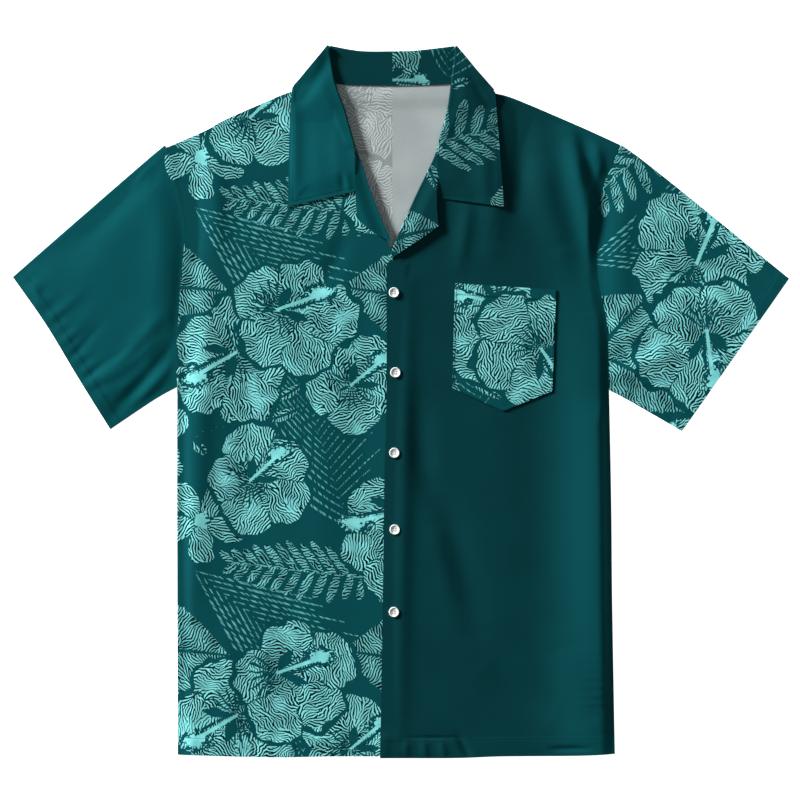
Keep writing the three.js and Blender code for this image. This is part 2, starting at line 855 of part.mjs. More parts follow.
// Lapel: the facing over the turned-back front edge. Its inner edge is turned down round the front's edge.
function lapelSheet(side, below) {
  const top = side.lapel_outer[0];
  const roll = rollAt(side, side.lapel_end, top.y, LAPEL_STEPS).reverse();
  const inner = roll.map((p) => new THREE.Vector2(p.x + side.sign * LIP, p.y));
  const outer = spaced(side.lapel_outer, LAPEL_STEPS);
  outer[0] = inner[0].clone();
  outer[0].x += side.sign * LAPEL_END;
  const low = spaced(side.lapel_lower, LAPEL_ACROSS);
  low[0].copy(inner[LAPEL_STEPS]);
  outer[LAPEL_STEPS].copy(low[LAPEL_ACROSS]);
  const high = straight(inner[0], outer[0], LAPEL_ACROSS);
  const plan = patch(high, low, inner, outer);
  return restOn(raised(plan, () => 2 * (WALL + GAP)), below);
}

function lapel(side, sheet) {
  const lipDepth = WALL + GAP;
  const outer = sheet.map((row) => {
    const edge = row[0];
    const at = (away, z) => new THREE.Vector3(edge.x - side.sign * away, edge.y, z);
    const top = edge.z + COLLAR_WALL;
    const lip = [
      at(LIP, edge.z - lipDepth),
      at(LIP, edge.z + COLLAR_WALL * LIP_KNEE),
      at(LIP * LIP_BEND, top - COLLAR_WALL * LIP_BEND_DROP),
    ];
    return [...lip, ...row.map((p) => p.clone().setZ(p.z + COLLAR_WALL))];
  });
  const inner = sheet.map((row) => {
    const edge = row[0];
    const at = (away, z) => new THREE.Vector3(edge.x - side.sign * away, edge.y, z);
    const lip = [
      at(LIP_INSIDE, edge.z - lipDepth),
      at(LIP_INSIDE, edge.z - LIP_INSIDE_DROP),
      at(LIP_INSIDE_BEND, edge.z - LIP_INSIDE_BEND),
    ];
    return [...lip, ...row];
  });
  return geometryOf(sheetFaces(outer, inner));
}

// Pocket

function pocketPlan() {
  const half = POCKET_STEPS / 2;
  const bottom = joined(
    straight(POCKET.low_left, POCKET.point, half),
    straight(POCKET.point, POCKET.low_right, half),
  );
  const top = straight(POCKET.top_left, POCKET.top_right, POCKET_STEPS);
  const left = straight(POCKET.low_left, POCKET.top_left, POCKET_STEPS);
  const right = straight(POCKET.low_right, POCKET.top_right, POCKET_STEPS);
  return patch(bottom, top, left, right);
}

// Buttons

function manifoldOf(geometry) {
  const merged = mergeVertices(geometry, SAME);
  return new wasm.Manifold(new wasm.Mesh({
    numProp: 3,
    vertProperties: new Float32Array(merged.attributes.position.array),
    triVerts: new Uint32Array(merged.index.array),
  }));
}

function bare(geometry) {
  geometry.deleteAttribute('normal');
  geometry.deleteAttribute('uv');
  return geometry;
}

function buttonGeometry() {
  const profile = table('r z', [
    [0, 0],
    [BUTTON_RADIUS - BUTTON_FOOT, 0],
    [BUTTON_RADIUS, BUTTON_HEIGHT * BUTTON_WAIST],
    [BUTTON_RADIUS - BUTTON_BEVEL, BUTTON_HEIGHT - BUTTON_BEVEL_DROP],
    [BUTTON_RADIUS - BUTTON_RIM / 2, BUTTON_HEIGHT],
    [BUTTON_RADIUS - BUTTON_RIM, BUTTON_HEIGHT - BUTTON_BEVEL_DROP],
    [BUTTON_RADIUS - BUTTON_RIM * BUTTON_DISH_EDGE, BUTTON_HEIGHT - BUTTON_DISH],
    [0, BUTTON_HEIGHT - BUTTON_DISH],
  ]).map((row) => new THREE.Vector2(row.r, row.z));
  const lathe = new THREE.LatheGeometry(profile, BUTTON_SEGMENTS);
  lathe.rotateX(Math.PI / 2);
  let solid = manifoldOf(bare(lathe));
  [[-1, -1], [1, -1], [1, 1], [-1, 1]].forEach(([i, j]) => {
    const hole = new THREE.CylinderGeometry(HOLE_RADIUS, HOLE_RADIUS, BUTTON_HEIGHT * 2, HOLE_SEGMENTS);
    hole.rotateX(Math.PI / 2);
    hole.translate(i * HOLE_PITCH, j * HOLE_PITCH, BUTTON_HEIGHT / 2);
    solid = solid.subtract(manifoldOf(bare(hole)));
  });
  const holed = solid.getMesh();
  const geometry = new THREE.BufferGeometry();
  geometry.setAttribute('position', new THREE.Float32BufferAttribute(holed.vertProperties, 3));
  geometry.setIndex([...holed.triVerts]);
  return geometry;
}

// Assembly, from the surface up

const plainCloth = new THREE.MeshStandardMaterial({ color: 0x0d4b50, roughness: 0.8, metalness: 0 });
const printedCloth = new THREE.MeshStandardMaterial({ color: 0x4a9a98, roughness: 0.8, metalness: 0 });
const buttonPlastic = new THREE.MeshStandardMaterial({ color: 0xf0f2ee, roughness: 0.35, metalness: 0 });

const shirt = new THREE.Group();

function add(name, geometry, material) {
  const mesh = new THREE.Mesh(geometry, material);
  mesh.name = name;
  shirt.add(mesh);
  return mesh;
}

function topOf(sheet, thickness) {
  return triangles(lifted(sheet, thickness));
}

const backCollars = {
  right: backCollarRows(SIDES.right),
  left: backCollarRows(SIDES.left),
};
const fallTops = Object.values(backCollars).flatMap((rows) => {
  const first = STAND_STEPS + NOSE_STEPS;
  return triangles(rows.inner.map((row) => row.slice(first)));
});
const standTops = Object.values(backCollars).flatMap((rows) => (
  triangles(rows.outer.map((row) => row.slice(0, STAND_STEPS + 1)))
));

const backs = {};
Object.entries(SIDES).forEach(([name, side]) => {
  backs[name] = restOn(raised(backPlan(side), () => 0), fallTops);
});
const backTops = [...topOf(backs.right, WALL), ...topOf(backs.left, WALL)];

const fronts = {};
fronts.right = restOn(raised(frontPlan(SIDES.right, RIGHT_EDGE), frontHeight(SIDES.right)), backTops);
fronts.left = restOn(
  raised(frontPlan(SIDES.left, LEFT_EDGE), frontHeight(SIDES.left)),
  [...backTops, ...topOf(fronts.right, WALL)],
);
const frontTops = [...topOf(fronts.right, WALL), ...topOf(fronts.left, WALL)];

const lapels = {
  right: lapelSheet(SIDES.right, frontTops),
  left: lapelSheet(SIDES.left, frontTops),
};

Object.entries(SIDES).forEach(([name, side]) => {
  const panel = name === 'right' ? printedCloth : plainCloth;
  const trim = name === 'right' ? plainCloth : printedCloth;
  const front = frontCollar(side, [...frontTops, ...backTops, ...standTops]);
  add(`back_${name}`, sheetSolid(backs[name], WALL), panel);
  add(`front_${name}`, sheetSolid(fronts[name], WALL), panel);
  add(`sleeve_${name}`, sleeve(side), trim);
  add(`collar_${name}`, collar(side, backCollars[name], front), trim);
  add(`lapel_${name}`, lapel(side, lapels[name]), trim);
});

const pocketUnder = restOn(raised(pocketPlan(), () => WALL), frontTops);
add('pocket', sheetSolid(pocketUnder, WALL), printedCloth);

const buttonShape = buttonGeometry();
BUTTONS.forEach((row, i) => {
  const heights = [];
  for (let k = 0; k < BUTTON_SEGMENTS; k += 1) {
    const angle = 2 * Math.PI * k / BUTTON_SEGMENTS;
    const x = row.x + BUTTON_RADIUS * Math.cos(angle);
    const y = row.y + BUTTON_RADIUS * Math.sin(angle);
    frontTops.forEach((t) => heights.push(heightOver(t, x, y) ?? 0));
  }
  const mesh = add(`button_${i + 1}`, buttonShape.clone(), buttonPlastic);
  mesh.position.set(row.x, row.y, Math.max(...heights) + GAP);
});

export default shirt;
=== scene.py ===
"""A short-sleeved shirt with a camp collar, buttoned and laid flat on its back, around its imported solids.

Lengths are in millimetres until a mesh is made. +X is the wearer's left, +Y the collar end, +Z up.
"""

import json
import math

import bpy
import numpy as np
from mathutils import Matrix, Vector

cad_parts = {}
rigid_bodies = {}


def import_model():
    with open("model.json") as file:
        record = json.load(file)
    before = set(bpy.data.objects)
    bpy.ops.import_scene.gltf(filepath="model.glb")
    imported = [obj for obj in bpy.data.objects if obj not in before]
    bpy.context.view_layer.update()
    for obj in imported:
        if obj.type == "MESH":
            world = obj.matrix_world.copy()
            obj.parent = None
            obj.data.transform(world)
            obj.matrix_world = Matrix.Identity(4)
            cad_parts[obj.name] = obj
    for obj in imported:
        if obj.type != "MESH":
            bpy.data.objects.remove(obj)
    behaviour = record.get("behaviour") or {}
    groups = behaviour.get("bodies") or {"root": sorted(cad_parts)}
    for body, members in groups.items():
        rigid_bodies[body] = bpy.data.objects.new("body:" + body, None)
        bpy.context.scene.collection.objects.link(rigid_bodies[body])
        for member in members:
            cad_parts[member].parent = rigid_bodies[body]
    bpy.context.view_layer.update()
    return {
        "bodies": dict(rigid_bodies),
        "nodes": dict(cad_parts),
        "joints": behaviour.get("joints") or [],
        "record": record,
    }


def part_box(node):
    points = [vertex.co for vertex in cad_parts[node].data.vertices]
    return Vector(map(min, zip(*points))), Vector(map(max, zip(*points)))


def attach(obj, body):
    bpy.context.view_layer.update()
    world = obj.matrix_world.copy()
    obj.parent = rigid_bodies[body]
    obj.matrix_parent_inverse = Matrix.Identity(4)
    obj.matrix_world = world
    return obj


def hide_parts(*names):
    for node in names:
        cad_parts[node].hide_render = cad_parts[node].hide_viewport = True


MM = 0.001

# Cloth
PANEL = 0.8
COLLAR = 1.3
CLEAR = 0.12
FOLD_RADIUS = 1.1
FOLD_INSIDE = 0.12
ROLL_RADIUS = 1.7
ROLL_INSIDE = 0.3
BACK_CREASE_REACH = 3.0
LOFT = 2.8
LOFT_REACH = 42.0
SIDE_SHARE = 2.6
HEM_DEPTH = 20.0
CUFF_DEPTH = 15.0
STITCH_INSET = 1.2
STITCH_LENGTH = 2.2
STITCH_WIDTH = 0.45
SHARP_CLOTH = 50
SHARP_BUTTON = 35
STITCH_GAP = 1.25
COLLAR_STITCH = 5.0
POCKET_STITCH = 1.6
POCKET_HEM = 12.0

# How far a lapel rises from its roll, how wide its lip is, and how far a leaf's gorge is tucked over it
LAPEL_LIFT = 2.8
LAPEL_LIP = 1.5
GORGE_TUCK = 1.0

# Heights of the stack at the neck, from below: the stand behind it, the stand in front of it, the leaf
STAND_BACK = 1.9
STAND_FRONT = 3.8
LEAF_AT_NECK = 5.6

# Where, along Y, the stand and the leaf rise to those heights, and where the back rises over the fall
STAND_RISE = (300, 342)
LEAF_RISE = (285, 340)
FALL_RISE = (322, 334)

# How far a leaf rises towards its roll, over its width, and how far its own crown rises
LEAF_TILT = 1.3
LEAF_WIDTH = 62.0
LEAF_CROWN = 1.5

# Buttons: their profile in shares of their radius and height, the height of its well, and their holes
BUTTON_WELL = 0.66
BUTTON_PROFILE = [
    (0.0, 0.0), (0.86, 0.0), (0.95, 0.2), (1.0, 0.48), (0.985, 0.78), (0.93, 0.96), (0.86, 1.0),
    (0.79, 0.95), (0.74, 0.8), (0.66, 0.7), (0.4, BUTTON_WELL), (0.0, BUTTON_WELL),
]
BUTTON_SEGMENTS = 40
HOLE_SEGMENTS = 12
HOLE_PITCH = 1.25
HOLE_RADIUS = 0.62
BUTTONS = 5

# Mesh spacing
FINE = 2.4
COARSE = 5.0
EDGE_STEP = 0.9
NOSE_STEPS = 8
FALL_ROWS = 36

# The centre back, and the front edges that overlap under the buttons
CENTRE_BACK = -9.4
LEFT_EDGE = [(-23.0, -391.8), (-20.1, -222.8), (-18.2, -82.0), (-16.0, 1.6), (-16.0, 152.0)]
RIGHT_EDGE = [(-2.5, -390.0), (4.5, -82.0), (4.5, 148.0)]

# Outlines of each half. A roll point has a third number, how far the neck seam lies from it.
SIDES = {
    "right": {
        "sign": -1,
        "edge": RIGHT_EDGE,
        "hem": [(-2.5, -390.0), (-76.3, -390.0), (-132.4, -391.0), (-188.5, -390.0), (-245.5, -388.3)],
        "side_seam": [(-245.5, -388.3), (-246.2, -120.0), (-246.1, 16.0)],
        "armhole": [
            (-246.1, 16.0), (-247.0, 54.5), (-242.4, 129.3), (-238.2, 188.7),
            (-247.5, 229.4), (-259.0, 257.0), (-258.5, 278.9),
        ],
        "shoulder": [
            (-86.9, 359.2), (-115.5, 343.0), (-136.0, 335.0),
            (-193.6, 309.7), (-214.5, 298.1), (-258.5, 278.9),
        ],
        "back_neck": [(CENTRE_BACK, 347.1), (-40.0, 347.6), (-71.2, 349.4), (-86.9, 359.2)],
        "roll": [
            (4.5, 148.0, 2.2), (-9.9, 170.5, 2.2), (-28.6, 216.2, 2.2), (-40.0, 252.0, 2.3),
            (-51.0, 284.0, 3.2), (-61.6, 320.7, 9.0), (-72.5, 352.0, 15.0), (-79.5, 391.6, 33.0),
        ],
        "gorge_top": 284.0,
        "notch": (-50.6, 231.0),
        "tip": (-124.3, 214.0),
        "outer": [(-124.3, 214.0), (-122.1, 309.7), (-119.4, 345.4)],
        "crease_end": (-118.4, 347.2),
        "top_edge": [(CENTRE_BACK, 385.2), (-45.1, 385.6), (-79.5, 391.6)],
        "fall": [(CENTRE_BACK, 329.0), (-70.0, 334.0), (-118.4, 347.2)],
        "lapel_outer": [(-49.6, 279.0), (-50.2, 231.0), (-48.0, 200.1)],
        "lapel_lower": [(-9.0, 174.5), (-28.6, 184.5), (-48.0, 200.1)],
        "lapel_end": 174.5,
        "sleeve_top": [(-259.5, 278.9), (-268.5, 274.8), (-358.6, 196.9), (-427.0, 137.0)],
        "cuff": [(-319.6, -30.6), (-355.3, 27.0), (-390.5, 85.3), (-427.0, 137.0)],
        "underarm": [(-246.6, 15.6), (-271.4, 1.7), (-319.6, -30.6)],
    },
    "left": {
        "sign": 1,
        "edge": LEFT_EDGE,
        "hem": [(-23.0, -391.8), (60.5, -391.8), (111.1, -390.0), (195.4, -389.3), (235.2, -387.5)],
        "side_seam": [(235.2, -387.5), (232.3, -222.8), (231.2, -110.6), (228.8, 12.7)],
        "armhole": [
            (228.8, 12.7), (226.6, 84.2), (216.8, 135.9), (216.2, 190.0),
            (222.2, 234.9), (231.0, 256.9), (241.5, 282.0),
        ],
        "shoulder": [(68.2, 357.0), (99.5, 340.3), (126.0, 332.5), (196.9, 302.3), (241.5, 282.0)],
        "back_neck": [(CENTRE_BACK, 347.1), (25.0, 347.8), (54.7, 349.7), (68.2, 357.0)],
        "roll": [
            (-11.4, 156.2, 2.2), (-8.8, 170.0, 2.2), (15.0, 223.9, 2.2), (36.0, 267.9, 2.3),
            (41.5, 287.0, 3.2), (50.6, 320.7, 9.0), (55.0, 352.0, 13.5), (60.0, 391.1, 33.0),
        ],
        "gorge_top": 287.0,
        "notch": (39.6, 223.9),
        "tip": (112.8, 214.0),
        "outer": [(112.8, 214.0), (110.4, 250.3), (103.4, 340.5)],
        "crease_end": (102.6, 342.8),
        "top_edge": [(CENTRE_BACK, 385.2), (20.0, 386.4), (60.0, 391.1)],
        "fall": [(CENTRE_BACK, 329.0), (50.0, 332.0), (102.6, 342.8)],
        "lapel_outer": [(41.3, 282.0), (39.2, 223.9), (40.9, 192.5)],
        "lapel_lower": [(-10.0, 157.5), (6.9, 169.0), (25.9, 181.4), (40.9, 192.5)],
        "lapel_end": 157.5,
        "sleeve_top": [(242.6, 282.0), (262.5, 267.9), (317.9, 223.9), (426.8, 135.2)],
        "cuff": [(309.0, -32.6), (426.8, 135.2)],
        "underarm": [(229.3, 12.3), (249.5, 1.7), (309.0, -32.6)],
    },
}

POCKET = {
    "top_left": (59.3, 130.0),
    "top_right": (170.5, 122.7),
    "low_right": (166.1, 11.6),
    "point": (112.2, -10.5),
    "low_left": (56.4, 14.9),
}

# Folds: three points along each, its half width, and its height, which is negative for a trough
FOLDS = {
    "front_left": [
        ((103, 350), (103, 270), (100, 170), 16, 3.8),
        ((133, 330), (134, 270), (129, 215), 12, -2.6),
        ((153, 274), (152, 222), (176, 168), 17, 3.8),
        ((187, 294), (200, 235), (217, 150), 13, 7.0),
        ((197, 296), (203, 264), (208, 238), 7, -2.8),
        ((214, 286), (217, 262), (222, 244), 6, 2.2),
        ((74, 222), (72, 190), (64, 150), 9, 2.0),
        ((8, 130), (2, -100), (-2, -380), 10, 2.2),
        ((20, 0), (22, -60), (34, -130), 14, -2.4),
        ((44, -100), (64, -170), (84, -250), 18, -2.2),
        ((24, -90), (42, -160), (62, -240), 14, 1.6),
        ((219, 110), (217, -110), (220, -350), 30, 5.2),
        ((150, 20), (156, -110), (154, -230), 30, -1.8),
        ((176, -270), (190, -310), (205, -350), 22, 2.4),
        ((92, -290), (130, -325), (170, -345), 20, -2.6),
        ((62, -366), (70, -380), (76, -391), 4, -1.8),
        ((24, -374), (26, -382), (27, -391), 4, 1.3),
        ((44, -374), (46, -382), (48, -391), 4, 1.3),
        ((6, -374), (5, -382), (6, -391), 4, 1.0),
        ((165, -382), (185, -381), (206, -382), 3, -1.4),
        ((10, -369), (36, -370), (62, -369), 2, -0.9),
    ],
    "front_right": [
        ((-236, 250), (-228, 205), (-232, 150), 10, -3.4),
        ((-205, 268), (-200, 220), (-206, 170), 12, 2.0),
        ((-150, 180), (-130, 100), (-112, 20), 24, 1.5),
        ((-215, 120), (-222, -40), (-225, -200), 12, 2.0),
        ((-240, 120), (-240, -100), (-238, -380), 7, -1.8),
        ((-170, 60), (-176, -60), (-160, -200), 22, -1.4),
        ((-80, 40), (-92, -80), (-84, -240), 24, 1.2),
        ((-40, 120), (-44, 0), (-36, -160), 18, -1.0),
        ((-120, -190), (-130, -280), (-120, -380), 20, -1.2),
        ((-190, -260), (-196, -320), (-188, -380), 14, 1.2),
        ((-60, 190), (-70, 150), (-96, 110), 10, -1.4),
        ((-20, -370), (-22, -380), (-24, -390), 4, 0.9),
        ((-120, -372), (-122, -382), (-124, -391), 4, 0.9),
        ((-160, -372), (-158, -382), (-160, -391), 4, -0.9),
    ],
    "sleeve_right": [
        ((-282, 248), (-335, 190), (-385, 130), 16, -1.8),
        ((-262, 236), (-256, 150), (-258, 70), 18, 1.8),
        ((-252, 60), (-292, 10), (-318, -10), 7, -1.8),
        ((-270, 66), (-300, 36), (-332, 20), 6, 0.8),
        ((-262, 96), (-300, 50), (-345, 14), 8, 1.4),
        ((-254, 40), (-276, 12), (-292, 0), 6, 1.3),
        ((-300, 60), (-330, 36), (-345, 24), 5, -1.3),
        ((-312, 52), (-330, 34), (-346, 20), 4, 0.7),
        ((-275, 262), (-285, 250), (-292, 236), 4, 0.9),
        ((-268, 258), (-272, 244), (-276, 232), 4, -0.8),
        ((-340, 100), (-362, 74), (-376, 60), 8, 0.6),
        ((-352, 120), (-372, 100), (-390, 88), 6, 0.7),
        ((-330, 84), (-352, 60), (-366, 46), 5, -0.7),
        ((-405, 134), (-396, 120), (-400, 104), 5, 0.7),
    ],
    "sleeve_left": [
        ((262, 250), (320, 196), (385, 140), 16, -1.7),
        ((240, 230), (232, 150), (240, 70), 14, 1.9),
        ((235, 30), (268, 40), (300, 52), 8, 1.7),
        ((244, 14), (272, 14), (300, 4), 6, -1.7),
        ((252, 60), (284, 70), (320, 60), 9, -1.4),
        ((300, 190), (322, 140), (330, 90), 18, -1.0),
        ((330, 120), (352, 100), (376, 84), 10, 1.0),
    ],
}

LEAF_FOLDS = {
    "right": [
        ((-102, 330), (-102, 270), (-104, 224), 9, -0.9),
        ((-66, 250), (-64, 240), (-62, 228), 3, -0.9),
        ((-60, 252), (-58, 240), (-57, 230), 2.5, 0.5),
        ((-108, 330), (-90, 350), (-84, 372), 6, -0.8),
        ((-72, 300), (-70, 262), (-66, 246), 8, 0.6),
        ((-118, 335), (-118, 275), (-117, 224), 7, 1.4),
    ],
    "left": [
        ((96, 330), (80, 350), (72, 372), 6, -0.7),
        ((60, 300), (62, 262), (60, 240), 9, 0.6),
        ((98, 300), (100, 260), (102, 228), 8, -0.4),
    ],
}

# Puckers along each cuff: how many, and how high
PUCKERS = {"right": (13, 0.4), "left": (9, 0.3)}


# Print: motifs in the plan, in millimetres and degrees. The front's repeat every REPEAT along Y, REPEATS
# times up and down.

REPEAT = 399.3
REPEATS = 2
PALM_PITCH = 8.5

# Added to the length of a fan, whose blades leave its stem at one angle
FAN = 1000

# What a sleeve's underside adds to its mirrored plan, to take its print from another place
UNDER_PRINT = (1050, -180)

# Contour lines: the size of the pattern's cells in millimetres, how many lines cross one, how straight they
# run, and how soft their edges are
LINE_CELL = 7.0
LINES = 2.3
LINE_FLOW = 0.86
LINE_EDGE = 0.02

# Hibiscus: middle and radius of the flower, place of its throat, direction of its column, shape number, layer
BLOOMS = {
    "front": [
        (-118, 92, 65, -136, 101, 18, 0.72, 3),
        (-186, 44, 67, -181, 54, 209, 1.33, 2),
        (-51, 23, 56, -55, 18, 38, 2.28, 1),
        (-155, -86, 57, -166, -87, 41, 3.6, 2),
        (-3, -150, 66, -1, -122, 190, 4.5, 2),
    ],
    "sleeve": [
        (330, 172, 76, 325, 152, 66, 5.3, 1),
        (331, 62, 70, 336, 78, -84, 6.6, 2),
        (300, -60, 40, 300, -60, 90, 2.9, 1),
    ],
    "pocket": [
        (90, 86, 60, 108, 107, 164, 1.1, 1),
        (142, 56, 64, 154, 58, -58, 3.9, 2),
    ],
    "collar": [
        (-20, 370, 46, -14, 354, -3, 2.2, 1),
        (140, 200, 44, 150, 190, 20, 0.8, 1),
        (-40, 118, 56, -50, 110, 60, 4.6, 1),
    ],
}

# Five-petalled star flowers: middle, radius, direction of one petal, shape number
STARS = {
    "front": [(-220, -131, 50, 126, 0.4), (-284, -42, 58, 30, 1.9)],
    "sleeve": [],
    "pocket": [],
    "collar": [],
}

# Leaves: base, direction, length, and half width as a share of it
LEAVES = {
    "front": [
        (-318, -277, -1, 130, 0.44),
        (66, -280, 177, 130, 0.42),
        (-110, 18, 209, 38, 0.14),
        (-112, -8, 198, 46, 0.13),
        (-218, -34, 102, 17, 0.34),
        (-205, -30, 112, 15, 0.34),
        (-200, -28, -35, 21, 0.3),
        (-221, -37, -14, 18, 0.3),
        (-227, -42, -55, 23, 0.3),
        (-231, -40, 18, 52, 0.02),
    ],
    "sleeve": [
        (206, 40, 48, 104, 0.46),
        (214, 54, -31, 128, 0.3),
        (290, -50, 20, 40, 0.4),
    ],
    "pocket": [
        (80, 20, -31, 38, 0.14),
        (40, 8, 38, 34, 0.34),
        (66, 140, -20, 60, 0.3),
    ],
    "collar": [
        (55, 345, 20, 26, 0.2),
        (-24, 172, 15, 72, 0.42),
        (28, 262, -70, 34, 0.2),
    ],
}

# Ferns and palm fronds: base, direction, length, and a fern's step from leaflet to leaflet
FERNS = {
    "front": [(-38, -193, 174, 152, 14.3)],
    "sleeve": [(285, 292, 222, 130, 17.0)],
    "pocket": [],
    "collar": [(26, 280, 14, 98, 17.6)],
}
PALMS = {
    "front": [(-56, -142, 108, 168), (-232, -182, -38, 110 + FAN)],
    "sleeve": [(196, 150, 18, 110 + FAN)],
    "pocket": [(92, -8, 118, 50)],
    "collar": [(52, 352, 92, 52)],
}

# The back's print is one repeat of the front's, with two flowers that show inside the neck
for motifs in (BLOOMS, STARS, LEAVES, FERNS, PALMS):
    motifs["back"] = list(motifs["front"])
BLOOMS["back"] += [(-40, 318, 58, -62, 330, 200, 2.9, 4), (-28, 214, 54, -50, 190, 240, 1.2, 4)]


# Plane curves


def dense(points):
    """A smooth curve through the points, as many short straight pieces."""
    p = np.array([q[:2] for q in points], float)
    last = len(p) - 1
    t = np.linspace(0, last, 120 * last + 1)
    i = np.minimum(t.astype(int), last - 1)
    w = (t - i)[:, None]
    before, a, b, after = p[np.maximum(i - 1, 0)], p[i], p[i + 1], p[np.minimum(i + 2, last)]
    va, vb = (b - before) / 2, (after - a) / 2
    return (2 * a - 2 * b + va + vb) * w**3 + (3 * b - 3 * a - 2 * va - vb) * w**2 + va * w + a


def along(curve, shares):
    """Points of a curve at the given shares of its length."""
    curve = np.asarray(curve, float)
    steps = np.hypot(*np.diff(curve, axis=0).T)
    run = np.concatenate([[0], np.cumsum(steps)])
    run /= run[-1]
    return np.stack([np.interp(shares, run, curve[:, k]) for k in (0, 1)], 1)


def length_of(curve):
    return float(np.hypot(*np.diff(curve, axis=0).T).sum())


def chained(parts, shares):
    """Points of several curves laid end to end. Each part is a curve and the share at which it ends."""
    shares = np.asarray(shares, float)
    found = np.zeros((len(shares), 2))
    start = 0.0
    for curve, end in parts:
        inside = (shares >= start - 1e-9) & (shares <= end + 1e-9)
        found[inside] = along(curve, (shares[inside] - start) / (end - start))
        start = end
    return found


def between_heights(points, low, high):
    curve = dense(points)
    return curve[(curve[:, 1] >= low - 0.01) & (curve[:, 1] <= high + 0.01)]


def offset(points, distance):
    """Moves each point sideways, to the left of the direction of travel."""
    run = np.gradient(points, axis=0)
    run /= np.maximum(np.hypot(run[:, 0], run[:, 1]), 1e-9)[:, None]
    return points + distance * np.stack([-run[:, 1], run[:, 0]], 1)


def spread(length, step, fine_start=0.0, fine_end=0.0):
    """Shares from 0 to 1, closer together within fine_start and fine_end of the ends."""
    middle = max(length - fine_start - fine_end, step)
    counts = [round(fine_start / EDGE_STEP), max(2, round(middle / step)), round(fine_end / EDGE_STEP)]
    ends = np.cumsum([0, fine_start, middle, fine_end]) / (fine_start + middle + fine_end)
    parts = [np.linspace(ends[k], ends[k + 1], n + 1)[:-1] for k, n in enumerate(counts) if n]
    return np.concatenate([*parts, [1.0]])


def patch(bottom, top, left, right, u, v):
    """Fills four edges that meet at their corners. The edges are already taken at the shares u and v."""
    u = u[None, :, None]
    v = v[:, None, None]
    across = left[:, None] * (1 - u) + right[:, None] * u
    up = bottom[None] * (1 - v) + top[None] * v
    corners = (bottom[0] * (1 - u) + bottom[-1] * u) * (1 - v) + (top[0] * (1 - u) + top[-1] * u) * v
    return across + up - corners


def smooth(value, low, high):
    t = np.clip((value - low) / (high - low), 0, 1)
    return t * t * (3 - 2 * t)


def distance_to(curve, plan):
    """Distance of each plan point from a curve."""
    flat = plan.reshape(-1, 2)
    best = np.full(len(flat), np.inf)
    for q in along(curve, np.linspace(0, 1, max(8, int(length_of(curve) / 4)))):
        best = np.minimum(best, (flat[:, 0] - q[0]) ** 2 + (flat[:, 1] - q[1]) ** 2)
    return np.sqrt(best).reshape(plan.shape[:-1])


def fold_height(folds, plan):
    """Height that soft folds add. Each fades towards its ends."""
    flat = plan.reshape(-1, 2)
    total = np.zeros(len(flat))
    for a, middle, b, width, height in folds:
        reach = math.dist(a, middle) + math.dist(middle, b)
        t = np.linspace(0, 1, 12 + int(reach / (0.4 * width)))[:, None]
        line = (1 - t) ** 2 * np.array(a) + 2 * t * (1 - t) * np.array(middle) + t**2 * np.array(b)
        best = np.full(len(flat), np.inf)
        share = np.zeros(len(flat))
        for k, q in enumerate(line):
            d = (flat[:, 0] - q[0]) ** 2 + (flat[:, 1] - q[1]) ** 2
            nearer = d < best
            best[nearer] = d[nearer]
            share[nearer] = k / (len(line) - 1)
        taper = 0.25 + 0.75 * np.sin(np.pi * np.clip(share, 0.02, 0.98)) ** 0.7
        total += height * taper * np.exp(-best / width**2)
    return total.reshape(plan.shape[:-1])


# Heights of what lies below


class Relief:
    """The highest cloth over each place of the plan."""

    CELL = 2.0
    HALF = (446.0, 412.0)

    def __init__(self):
        self.shape = [int(2 * h / self.CELL) + 1 for h in self.HALF]
        self.z = np.zeros(self.shape)

    def copied(self):
        """Another relief with the same heights."""
        other = Relief()
        other.z = self.z.copy()
        return other

    def lay(self, sheet):
        """Adds the top of a sheet, which is rows of points."""
        for s in np.linspace(0, 1, 4):
            for t in np.linspace(0, 1, 4):
                p = (sheet[:-1, :-1] * (1 - s) * (1 - t) + sheet[1:, :-1] * s * (1 - t)
                     + sheet[:-1, 1:] * (1 - s) * t + sheet[1:, 1:] * s * t).reshape(-1, 3)
                i = np.clip(np.rint((p[:, 0] + self.HALF[0]) / self.CELL).astype(int), 0, self.shape[0] - 1)
                j = np.clip(np.rint((p[:, 1] + self.HALF[1]) / self.CELL).astype(int), 0, self.shape[1] - 1)
                np.maximum.at(self.z, (i, j), p[:, 2])
        return self

    def softened(self, reach):
        """A smooth surface that clears this one everywhere."""
        n = max(1, round(reach / self.CELL))
        z = self.z
        for axis in (0, 1):
            z = np.max([np.roll(z, k, axis) for k in range(-n, n + 1)], axis=0)
        weights = np.exp(-((np.arange(-n, n + 1) / (0.6 * n)) ** 2))
        weights /= weights.sum()
        for axis in (0, 1):
            z = sum(w * np.roll(z, k, axis) for k, w in zip(range(-n, n + 1), weights))
        return z

    def under(self, plan, reach):
        """Heights that clear this surface at the plan's points, softened over the reach."""
        z = self.softened(reach)
        x = (plan[..., 0] + self.HALF[0]) / self.CELL
        y = (plan[..., 1] + self.HALF[1]) / self.CELL
        i = np.clip(x.astype(int), 0, self.shape[0] - 2)
        j = np.clip(y.astype(int), 0, self.shape[1] - 2)
        s, t = x - i, y - j
        return (z[i, j] * (1 - s) * (1 - t) + z[i + 1, j] * s * (1 - t)
                + z[i, j + 1] * (1 - s) * t + z[i + 1, j + 1] * s * t)


def raised(plan, z):
    """Points over the plan, at the heights z."""
    return np.concatenate([plan, np.broadcast_to(np.asarray(z, float), plan.shape[:2])[..., None]], -1)


def lifted(sheet, distance):
    """The sheet moved up."""
    return sheet + np.array([0, 0, distance])


# Meshes


